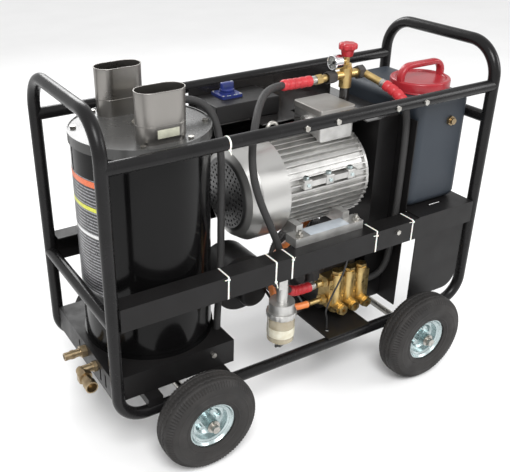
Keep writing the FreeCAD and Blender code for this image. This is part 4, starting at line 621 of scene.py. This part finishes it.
def tread(section, rows, sides):
    """How much of the radius is left: shoulder ribs where a fast wave is low, and grooves that follow
    a triangle wave round the tyre."""
    t = np.arange(sides) / sides
    across, radius = section[:, :1], section[:, 1:]
    wave = abs((t * ZIGZAGS) % 1 - 0.5) * 4 - 1
    grooves = np.max([np.exp(-((across - at - 1.8 * wave) / 1.5) ** 4) for at in (-14, 0, 14)], axis=0)
    ribs = 0.5 + 0.5 * np.cos(2 * np.pi * RIBS * t)
    shoulder = np.clip((abs(across) - 23) / 3, 0, 1) * np.clip((radius - 114) / 5, 0, 1)
    depth = 2.6 * grooves * (abs(across) < 22) + 4.0 * ribs * shoulder
    depth[rows:] = 0
    return 1 - depth / radius


section, outer_rows = tyre_section()
tyre_sides = 6 * RIBS
cuts = tread(section, outer_rows, tyre_sides)
for name in [n for n in NODES if n.startswith("tyre_")]:
    low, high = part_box(name)
    tyre = turned(section * MM, (low + high) / 2, (0, 1, 0), tyre_sides, True, cuts)
    piece(name.replace("tyre", "tread_tyre"), [tyre], TYRE_RUBBER, "wheel" + name[4:], 30,
          replaces=(name,))
print("tyres with", RIBS, "ribs a side")


# %% [markdown]
# ## The red cap
#
# The tank's cap is one moulding: a wide band, a dished top and a loop handle that rises flush from
# the band. The band and dish are a lathe outline, and the handle is a flattened bar swept over an
# arch with round shoulders.

# %% Screw cap with its loop handle
CAP_R, CAP_H, NECK_R = 82.0, 30.0, 70.6
cap_low, cap_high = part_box("tank_cap")
cap_at = np.array([(cap_low.x + cap_high.x) / 2, (cap_low.y + cap_high.y) / 2, cap_low.z])
cap_outline = [(3, 0), (3, NECK_R), (0, NECK_R), (0, CAP_R), (2, CAP_R), (3.5, CAP_R - 0.9), (5, CAP_R - 0.6)]
cap_outline += arc((CAP_H - 5, CAP_R - 5.6), 5, 90, 0, 8)
cap_outline += [(CAP_H, CAP_R - 11), (CAP_H - 1.4, CAP_R - 13.5), (CAP_H - 4, CAP_R - 15), (CAP_H - 4.4, 30),
                (CAP_H - 4, 0)]
cap_shell = turned(np.array(cap_outline) * MM, cap_at, (0, 0, 1), 120)
half, foot, rise, shoulder = 73.0, CAP_H - 9, (cap_high.z - cap_low.z) / MM - 8, 30.0
t = np.linspace(0, np.pi / 2, 12)
left_leg = [(-half, foot), (-half, foot + 8)]
left_turn = np.stack([-half + shoulder * (1 - np.cos(t)), rise - shoulder * (1 - np.sin(t))], -1)
arch = np.concatenate([left_leg, left_turn, left_turn[::-1] * (-1, 1), [(half, foot + 8), (half, foot)]])
arch_path = np.stack([arch[:, 0], 0 * arch[:, 0], arch[:, 1]], -1) * MM + cap_at
handle = swept(arch_path, superellipse(11 * MM, 8 * MM, 0.62, 28), lean=(0, 1, 0))
piece("filler_cap_moulding", [cap_shell, handle], CAP_RED, "filler_cap", replaces=("tank_cap",))

# %% [markdown]
# ## Knob and switch
#
# The pressure knob is a lathe outline whose radius also rises and falls round the head, which gives
# its seven finger lobes. The blue switch is a knurled skirt under a rounded grip bar.

# %% Pressure knob and main switch
knob_low, knob_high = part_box("unloader_knob")
knob_at = np.array([(knob_low.x + knob_high.x) / 2, (knob_low.y + knob_high.y) / 2, knob_low.z + 28 * MM])
knob_outline = np.array([(0, 0), (0, 14.5), (1.5, 15.4), (14, 17.4), (16.5, 18.2), (18, 21), (19.5, 24.4),
                         (22, 25.8), (29, 25.8), (32.5, 24.8), (34.8, 21.5), (35.6, 15), (34.6, 11),
                         (34.4, 0)])
t = np.arange(112) * 2 * np.pi / 112
lobes = 1 - 0.17 * (0.5 - 0.5 * np.cos(7 * t)) ** 2
spread = np.where((knob_outline[:, :1] > 17) & (knob_outline[:, 1:] > 16), lobes, 1.0)
piece("pressure_knob_moulding", [turned(knob_outline * MM, knob_at, (0, 0, 1), 112, False, spread)], KNOB_RED,
      "pressure_knob", 50, replaces=("unloader_knob",))
dial_low, dial_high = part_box("switch_knob")
dial_at = np.array([(dial_low.x + dial_high.x) / 2, (dial_low.y + dial_high.y) / 2, dial_low.z + 12 * MM])
skirt = np.array([(0, 0), (0, 19.4), (0.8, 20), (5.5, 20), (7, 18.6), (7.6, 15), (8, 0)])
t = np.arange(96) * 2 * np.pi / 96
knurl = np.where(skirt[:, 1:] > 19, 1 - 0.02 * (np.cos(24 * t) > 0.2), 1.0)
bar = rounded_box(dial_at + np.array((-19, -6.5, 5)) * MM, dial_at + np.array((19, 6.5, 24)) * MM, 3 * MM)
mark = rounded_box(dial_at + np.array((11, -1, 23.6)) * MM, dial_at + np.array((18, 1, 24.4)) * MM, 0.35 * MM)
piece("switch_dial", [turned(skirt * MM, dial_at, (0, 0, 1), 96, False, knurl), bar], SWITCH_BLUE,
      "main_switch", replaces=("switch_knob",))
piece("switch_mark", [mark], TIE_NYLON, "main_switch")
plate_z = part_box("switch_base")[1].z - 5 * MM
plate_at = np.array([dial_at[0], dial_at[1], plate_z])
SCREW_OUT = 27
screw_outline = np.array([(0, 0), (0, 3), (1.2, 2.8), (1.8, 2), (1.9, 0)]) * MM
screws = [turned(screw_outline, plate_at + np.array((a * SCREW_OUT, b * SCREW_OUT, 0)) * MM, (0, 0, 1), 20)
          for a in (-1, 1) for b in (-1, 1)]
marks = [rounded_box(plate_at + np.array((a - 2, -29.5, -0.2)) * MM,
                     plate_at + np.array((a + 2, -27.5, 0.4)) * MM, 0.25 * MM)
         for a in (-14, -7, 7, 14)]
piece("switch_screws", screws, BOLT_ZINC, "frame")
piece("switch_scale", marks, TIE_NYLON, "frame")

# %% [markdown]
# ## Gauge face
#
# Behind its glass the gauge has a white dial with a ring of ticks. The ticks are tiny blocks turned
# round the centre; the bezel and the domed glass are lathe outlines.

# %% Bezel, dial, ticks and glass
gauge_low, gauge_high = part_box("gauge_case")
gauge_at = np.array([gauge_low.x, (gauge_low.y + gauge_high.y) / 2, (gauge_low.z + gauge_high.z) / 2])
bezel = np.array([(-0.6, 17.2), (-1.4, 18.2), (-1.2, 19.6), (0, 20.6), (4, 20.8), (5, 20.2), (5, 19.9),
                  (0.4, 17.2)])
piece("gauge_bezel", [turned(bezel * MM, gauge_at, (1, 0, 0), 64, ring=True)], CHROME,
      "frame")
plate = np.array([(7.8, 0), (7.8, 17.2), (8.6, 17.2), (8.6, 0)])
piece("gauge_dial", [turned(plate * MM, gauge_at, (1, 0, 0), 64)], DIAL_WHITE, "frame")
dome = np.array([(0.2, 0), (0.5, 9), (1.4, 17), (2.2, 17), (1.5, 9), (1.2, 0)])
piece("gauge_glass", [turned(dome * MM, gauge_at, (1, 0, 0), 64)], GLASS, "frame")


def tick(turn, reach, width):
    """A small upright block at twelve o'clock, turned about the gauge's axis."""
    points, faces = rounded_box(np.array((7.3, -width / 2, 15.6 - reach)) * MM,
                                np.array((7.9, width / 2, 15.6)) * MM, 0.15 * MM, 2)
    c, s = math.cos(turn), math.sin(turn)
    spun = points @ np.array([[1, 0, 0], [0, c, s], [0, -s, c]])
    return spun + gauge_at, faces


ticks = [tick(math.radians(-135 + 13.5 * k), 4.2 if k % 5 == 0 else 2.2, 1.0 if k % 5 == 0 else 0.6)
         for k in range(21)]
piece("gauge_ticks", ticks, WIRE_BLACK, "frame")

# %% [markdown]
# ## Cable ties
#
# A nylon tie is a thin strap pulled round a tube or channel, with a small square head and a trimmed
# tail. The strap is a flat section swept round a closed loop, which keeps its width along the machine.

# %% Ties with heads and tails
def around_loop(path, section, lean):
    """Sweep a section round a closed path: tangents wrap from the last point to the first."""
    tangent = np.roll(path, -1, axis=0) - np.roll(path, 1, axis=0)
    tangent /= np.linalg.norm(tangent, axis=1)[:, None]
    side = np.array(lean, float) - (tangent @ np.array(lean, float))[:, None] * tangent
    side /= np.linalg.norm(side, axis=1)[:, None]
    other = np.cross(tangent, side)
    points = path[:, None] + section[None, :, :1] * side[:, None] + section[None, :, 1:] * other[:, None]
    return patch(points, wrap_rows=True)


def rounded_loop(x, low, high, radius, steps=6):
    """A rectangle in the YZ plane with quarter-circle corners: centre plus radius times a direction."""
    quarter = np.linspace(0, np.pi / 2, steps)
    turn = np.concatenate([quarter + k * np.pi / 2 for k in range(4)])
    corner = np.repeat([[1, 1], [-1, 1], [-1, -1], [1, -1]], steps, axis=0)
    middle, half = (np.array(high) + low) / 2, (np.array(high) - low) / 2 - radius
    y = middle[0] + corner[:, 0] * half[0] + radius * np.cos(turn)
    z = middle[1] + corner[:, 1] * half[1] + radius * np.sin(turn)
    return np.stack([np.full_like(y, x), y, z], -1)


def tie(x, low, high, radius, head, tail):
    """A strap round a box or tube, its head at a place of its own, and a tail that leaves the head."""
    strap = around_loop(rounded_loop(x, low, high, radius),
                        superellipse(2.2 * MM, 0.6 * MM, 0.4, 12), (1, 0, 0))
    head = np.array((x, *head))
    half_head = np.array((3.4, 2.4, 2.4)) * MM
    block = rounded_box(head - half_head, head + half_head, 0.8 * MM)
    t = np.linspace(0, 1, 10)[:, None]
    end = swept(head + t * np.array(tail) * MM + t ** 2 * np.array((0, 0, -2)) * MM,
                superellipse(1.9 * MM, 0.6 * MM, 0.4, 12))
    return [strap, block, end]


near_face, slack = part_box("zip_ties")[0].y, 0.7 * MM
RAIL_TIE_U, CHANNEL_DEPTH = 302.25 * MM, 51.4 * MM
strap_low = (near_face + slack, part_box("mid_channels")[0].z - slack)
strap_high = (near_face + CHANNEL_DEPTH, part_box("mid_channels")[1].z + slack)
straps = []
for u, head_z, tail in ((298, 480, (-12, -3, 4)), (438, 430, (3, -5, -14)), (488, 480, (4, -4, 10)),
                        (764, 474, (-14, -3, 5)), (892, 482, (-16, -2, 5))):
    x = X_LEFT + (u + 2.25) * MM
    straps += tie(x, strap_low, strap_high, 2.5 * MM, (near_face, head_z * MM), tail)
rail_low, rail_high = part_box("top_rails")
rail_y, rail_z = rail_low.y + TUBE_R, (rail_low.z + rail_high.z) / 2
reach = TUBE_R + slack
straps += tie(X_LEFT + RAIL_TIE_U, (rail_y - reach, rail_z - reach), (rail_y + reach, rail_z + reach),
              reach - 1e-5, (rail_y - reach * 0.7, rail_z - reach * 0.75), (2, -4, -9))
piece("cable_ties", straps, TIE_NYLON, "frame", replaces=("zip_ties",))

# %% [markdown]
# ## The boiler's label
#
# A printed film is wrapped round the boiler's left side: a dark field of fine grey print, with thin
# bands of orange, yellow and white. Each is a thin strip swept round the shell. The print is only
# noise stretched into rows, so it says nothing.

# %% Label film and its bands
PRINT_GREY = finish("label print", (0.012, 0.012, 0.013), 0.3)
tree = PRINT_GREY.node_tree
specks = add(tree, "TexNoise", Vector=placed(tree, (1, 1, 0.45)), Scale=420.0, Detail=1.0)
lines = add(tree, "TexWave", {"bands_direction": "Z"}, Vector=placed(tree), Scale=38.0, Distortion=0.6)
both = add(tree, "Math", {"operation": "MULTIPLY"}, i0=specks.outputs["Fac"], i1=lines.outputs["Fac"])
inked = add(tree, "MapRange", Value=both.outputs[0], From_Min=0.3, From_Max=0.42, To_Max=0.8)
shade = add(tree, "Mix", {"data_type": "RGBA"}, i0=inked.outputs["Result"], i6=(0.012, 0.012, 0.013, 1),
            i7=(0.36, 0.36, 0.38, 1))
tree.links.new(shade.outputs[2], tree.nodes["Principled BSDF"].inputs["Base Color"])
BAND_ORANGE = mottle(finish("band orange", (0.75, 0.16, 0.05), 0.3), (0.6, 0.12, 0.04), 200)
BAND_YELLOW = mottle(finish("band yellow", (0.7, 0.72, 0.06), 0.3), (0.5, 0.5, 0.05), 200)
BAND_WHITE = mottle(finish("band white", (0.75, 0.75, 0.75), 0.3), (0.6, 0.6, 0.6), 200)
shell_low, shell_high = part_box("boiler_shell")
shell_x, shell_r = (shell_low.x + shell_high.x) / 2, 168 * MM


def film(name, bottom, top, proud, material):
    """A strip round the shell from 150 to 213 degrees: centre + (radius + proud) * (cos t, sin t)."""
    t = np.radians(np.linspace(150, 213, 40))
    r = shell_r + proud / 2
    path = np.stack([shell_x + r * np.cos(t), r * np.sin(t), np.full_like(t, (bottom + top) / 2 * MM)], -1)
    half_height = (top - bottom) / 2 * MM
    section = np.array([(-1, -1), (1, -1), (1, 1), (-1, 1)]) * (half_height, proud / 2)
    return piece(name, [swept(path, section, lean=(0, 0, 1))], material, "frame")


film("label_field", 428, 740, 0.3 * MM, PRINT_GREY)
film("label_orange", 722, 737, 0.5 * MM, BAND_ORANGE)
film("label_yellow", 660, 670, 0.5 * MM, BAND_YELLOW)
film("label_white", 590, 598, 0.5 * MM, BAND_WHITE)

# %% [markdown]
# ## Flue seams and stickers
#
# Each flue is rolled from one sheet, so it has a rolled bead at the top and a pressed seam low down.
# The beads are thin rods swept round the same obround outline as the sheet.

# %% Beads, seams and the blank sticker on the near flue
flues_low, flues_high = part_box("flues")
FLUE_L, FLUE_W = flues_high.x - flues_low.x, 66 * MM
flue_x = (flues_low.x + flues_high.x) / 2


def obround(y, z, grow=0.0, steps=16):
    """Two half circles joined by straights: a half circle's centre jumps to the other end."""
    t = np.linspace(-np.pi / 2, np.pi / 2, steps)
    r, half = FLUE_W / 2 + grow, (FLUE_L - FLUE_W) / 2
    right = np.stack([half + r * np.cos(t), r * np.sin(t)], -1)
    outline = np.concatenate([right, -right]) + (flue_x, y)
    return np.column_stack([outline, np.full(len(outline), z)])


for label, y in (("near", flues_low.y + FLUE_W / 2), ("far", flues_high.y - FLUE_W / 2)):
    bead = around_loop(obround(y, flues_high.z - 0.8 * MM, -0.4 * MM), circle(1.3 * MM, 10), (0, 0, 1))
    seam = around_loop(obround(y, flues_high.z - 76 * MM, -0.2 * MM), circle(0.9 * MM, 8), (0, 0, 1))
    piece("flue_beads_" + label, [bead, seam], BRUSHED_STEEL, "frame")
sticker_y = flues_low.y - 0.25 * MM
sticker = rounded_box((flue_x - 24 * MM, sticker_y - 0.2 * MM, flues_low.z + 14 * MM),
                      (flue_x + 30 * MM, sticker_y + 0.3 * MM, flues_low.z + 34 * MM), 0.2 * MM, 2)
piece("flue_sticker", [sticker],
      mottle(finish("sticker", (0.42, 0.42, 0.33), 0.5), (0.34, 0.34, 0.27), 60), "frame")

# %% [markdown]
# ## Motor, filter and fittings
#
# Small things tell the eye how big a machine is: bolts on the motor's side rail, a blank data plate on
# its foot, the wire bail that holds the filter's bowl, and the black union nuts on the regulator.

# %% Motor bolts, lugs and data plate
COVER_SATIN = grain(uneven_gloss(mottle(finish(
    "cover satin", (0.52, 0.515, 0.5), 0.35, 0.9, Anisotropic=0.3), (0.4, 0.395, 0.385), 9, 0.6, (0.3, 1, 1)),
    0.28, 0.42, 16), 500, 0.0003, 0.3, (0.1, 1, 1))
tree = COVER_SATIN.node_tree
cover_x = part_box("motor_fan_cover")[0].x
# The cover's end face, up to 3 mm in and fading out by 6 mm, is painted dark grey: painted shade of the dark
# fan seen through its holes.
spot = add(tree, "SeparateXYZ", Vector=add(tree, "TexCoord").outputs["Object"])
end_shade_mask = add(tree, "MapRange", Value=spot.outputs["X"], From_Min=cover_x + 3 * MM,
             From_Max=cover_x + 6 * MM, To_Min=1.0, To_Max=0.0)
shader = tree.nodes["Principled BSDF"]
pale = shader.inputs["Base Color"].links[0].from_socket
shade = add(tree, "Mix", {"data_type": "RGBA"}, i0=end_shade_mask.outputs["Result"], i6=pale, i7=(0.1, 0.1, 0.1, 1))
tree.links.new(shade.outputs[2], shader.inputs["Base Color"])
for name, material in (("motor_fan_cover", COVER_SATIN), ("filter_head", CAST_ALUMINIUM)):
    NODES[name].material_slots[0].material = material
for name in [n for n in NODES if n.startswith("rim_")]:
    NODES[name].material_slots[0].material = ZINC

motor_z = (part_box("motor_shaft")[0].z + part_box("motor_shaft")[1].z) / 2
rail_top = motor_z + 44 * MM
details, bolts = [], []
for u in (600, 672, 744):
    x = X_LEFT + u * MM
    details.append(rounded_box((x - 13 * MM, -130 * MM, rail_top - 22 * MM),
                               (x + 13 * MM, -104 * MM, rail_top + 5 * MM), 3 * MM))
    bolts.append(hex_head((x, -118 * MM, rail_top + 5 * MM), (0, 0, 1), 13 * MM, 7 * MM))
    bolts.append(hex_head((x, -129 * MM, rail_top - 9 * MM), (0, -1, 0), 10 * MM, 4 * MM))
piece("motor_lugs", details, CAST_ALUMINIUM, "frame")
piece("motor_bolts", bolts, ZINC, "frame")
foot_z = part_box("mid_channels")[1].z + 24 * MM
plate_low, plate_high = at_uprights((572, -186, 0)), at_uprights((700, -147, 0))
blank = rounded_box((plate_low[0], plate_low[1], foot_z),
                    (plate_high[0], plate_high[1], foot_z + 1.2 * MM), 0.5 * MM, 2)
piece("blank_data_plate", [blank], PAPER, "frame")

# %% Filter collar and wire bail
bowl_low, bowl_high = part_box("filter_bowl")
bowl_at = np.array([(bowl_low.x + bowl_high.x) / 2, (bowl_low.y + bowl_high.y) / 2, bowl_high.z])
collar = np.array([(-9, 37.2), (-9, 39.6), (-8, 40.4), (5, 40.4), (6, 39.6), (6, 34.2), (0.2, 34.2),
                   (0.2, 37.2)])
t = np.arange(96) * 2 * np.pi / 96
flutes = np.where(collar[:, 1:] > 39, 1 - 0.03 * (0.5 + 0.5 * np.cos(16 * t)) ** 3, 1.0)
piece("filter_collar", [turned(collar * MM, bowl_at, (0, 0, 1), 96, True, flutes)], CAST_ALUMINIUM,
      "frame")
t = np.linspace(0, np.pi, 40)
bail = np.stack([bowl_at[0] + 41.4 * MM * np.cos(t), np.full_like(t, bowl_at[1]),
                 bowl_at[2] - 2 * MM - (bowl_at[2] - bowl_low.z - 3 * MM) * np.sin(t) ** 0.45], -1)
piece("filter_bail", [swept(bail, circle(1.5 * MM, 12), lean=(0, 1, 0))], BOLT_ZINC, "frame")
band = np.array([(-66, 36.2), (-66, 37.3), (-40, 37.4), (-40, 36.2)])
piece("filter_band", [turned(band * MM, bowl_at, (0, 0, 1), 80, ring=True)],
      mottle(finish("pale band", (0.62, 0.6, 0.5), 0.4), (0.5, 0.46, 0.34), 70), "frame")

# %% Union nuts on the regulator
port_y, port_z = PRESSURE_ROUTE[0][1], PRESSURE_ROUTE[0][2]
nut_x = X_LEFT + (813 - 42) * MM
nuts = [hex_head((nut_x + 3 * MM, port_y, port_z), (-1, 0, 0), 31 * MM, 27 * MM),
        hex_head((nut_x + 80 * MM, port_y, port_z), (1, 0, 0), 33 * MM, 20 * MM)]
piece("union_nuts", nuts, IRON, "frame")


# %% [markdown]
# ## Camera, floor and light
#
# The camera stands at the left front corner a little above the cage and looks down on it. A shifted
# lens frames the machine without turning the camera, which would bend its uprights. The light is a
# studio's: a pale room, one large soft lamp above the near side, and two weaker ones.

# %% Camera
CAMERA_AT = Vector((-1.0610, -1.5267, 1.4193))
CAMERA_AZIMUTH, CAMERA_ELEVATION, CAMERA_ROLL = (math.radians(a) for a in (-28.615, 27.785, -0.942))
back = Vector((math.sin(CAMERA_AZIMUTH) * math.cos(CAMERA_ELEVATION),
               -math.cos(CAMERA_AZIMUTH) * math.cos(CAMERA_ELEVATION), math.sin(CAMERA_ELEVATION)))
right = (-back).cross(Vector((0, 0, 1))).normalized()
up = right.cross(-back)
rolled_right = math.cos(CAMERA_ROLL) * right + math.sin(CAMERA_ROLL) * up
rolled_up = -math.sin(CAMERA_ROLL) * right + math.cos(CAMERA_ROLL) * up
lens = bpy.data.cameras.new("camera")
SENSOR_MM, FOCAL_MM, SHIFT_X, SHIFT_Y = 36, 52.54, 0.127, -0.0076
lens.sensor_width, lens.lens = SENSOR_MM, FOCAL_MM
lens.shift_x, lens.shift_y = SHIFT_X, SHIFT_Y
camera = bpy.data.objects.new("camera", lens)
bpy.context.scene.collection.objects.link(camera)
turn = Matrix((rolled_right, rolled_up, back)).transposed()
camera.matrix_world = Matrix.Translation(CAMERA_AT) @ turn.to_4x4()
bpy.context.scene.camera = camera


# %% Floor, room and lamps
def lamp(name, at, aim, size, watts, tint=(1, 1, 1)):
    light = bpy.data.lights.new(name, "AREA")
    light.shape, light.size, light.energy, light.color = "DISK", size, watts, tint
    made = bpy.data.objects.new(name, light)
    bpy.context.scene.collection.objects.link(made)
    made.location = at
    made.rotation_euler = (Vector(aim) - Vector(at)).to_track_quat("-Z", "Y").to_euler()


FLOOR_HALF, ROOM_GLOW = 12.0, 0.95
floor_grid = np.array([[[-1, -1, 0], [1, -1, 0]], [[-1, 1, 0], [1, 1, 0]]], float) * FLOOR_HALF
floor_mesh = bpy.data.meshes.new("floor")
floor_points, floor_faces = patch(floor_grid, False, False)
floor_mesh.from_pydata(floor_points.tolist(), [], floor_faces.tolist())
floor = bpy.data.objects.new("floor", floor_mesh)
bpy.context.scene.collection.objects.link(floor)
floor_mesh.materials.append(mottle(finish("studio floor", (0.86, 0.86, 0.86), 0.8), (0.83, 0.83, 0.83), 2))
room = bpy.data.worlds.new("room")
bpy.context.scene.world = room
room.use_nodes = True
room.node_tree.nodes["Background"].inputs["Color"].default_value = (1, 1, 1, 1)
room.node_tree.nodes["Background"].inputs["Strength"].default_value = ROOM_GLOW
lamp("key", (-1.2, -2.2, 3.2), (0, 0, 0.5), 1.6, 110)
lamp("fill", (2.6, -1.8, 1.8), (0, 0, 0.5), 1.4, 30)
lamp("back", (0.4, 2.6, 2.4), (0, 0, 0.6), 1.6, 45)
bpy.context.scene.view_settings.view_transform = "Standard"
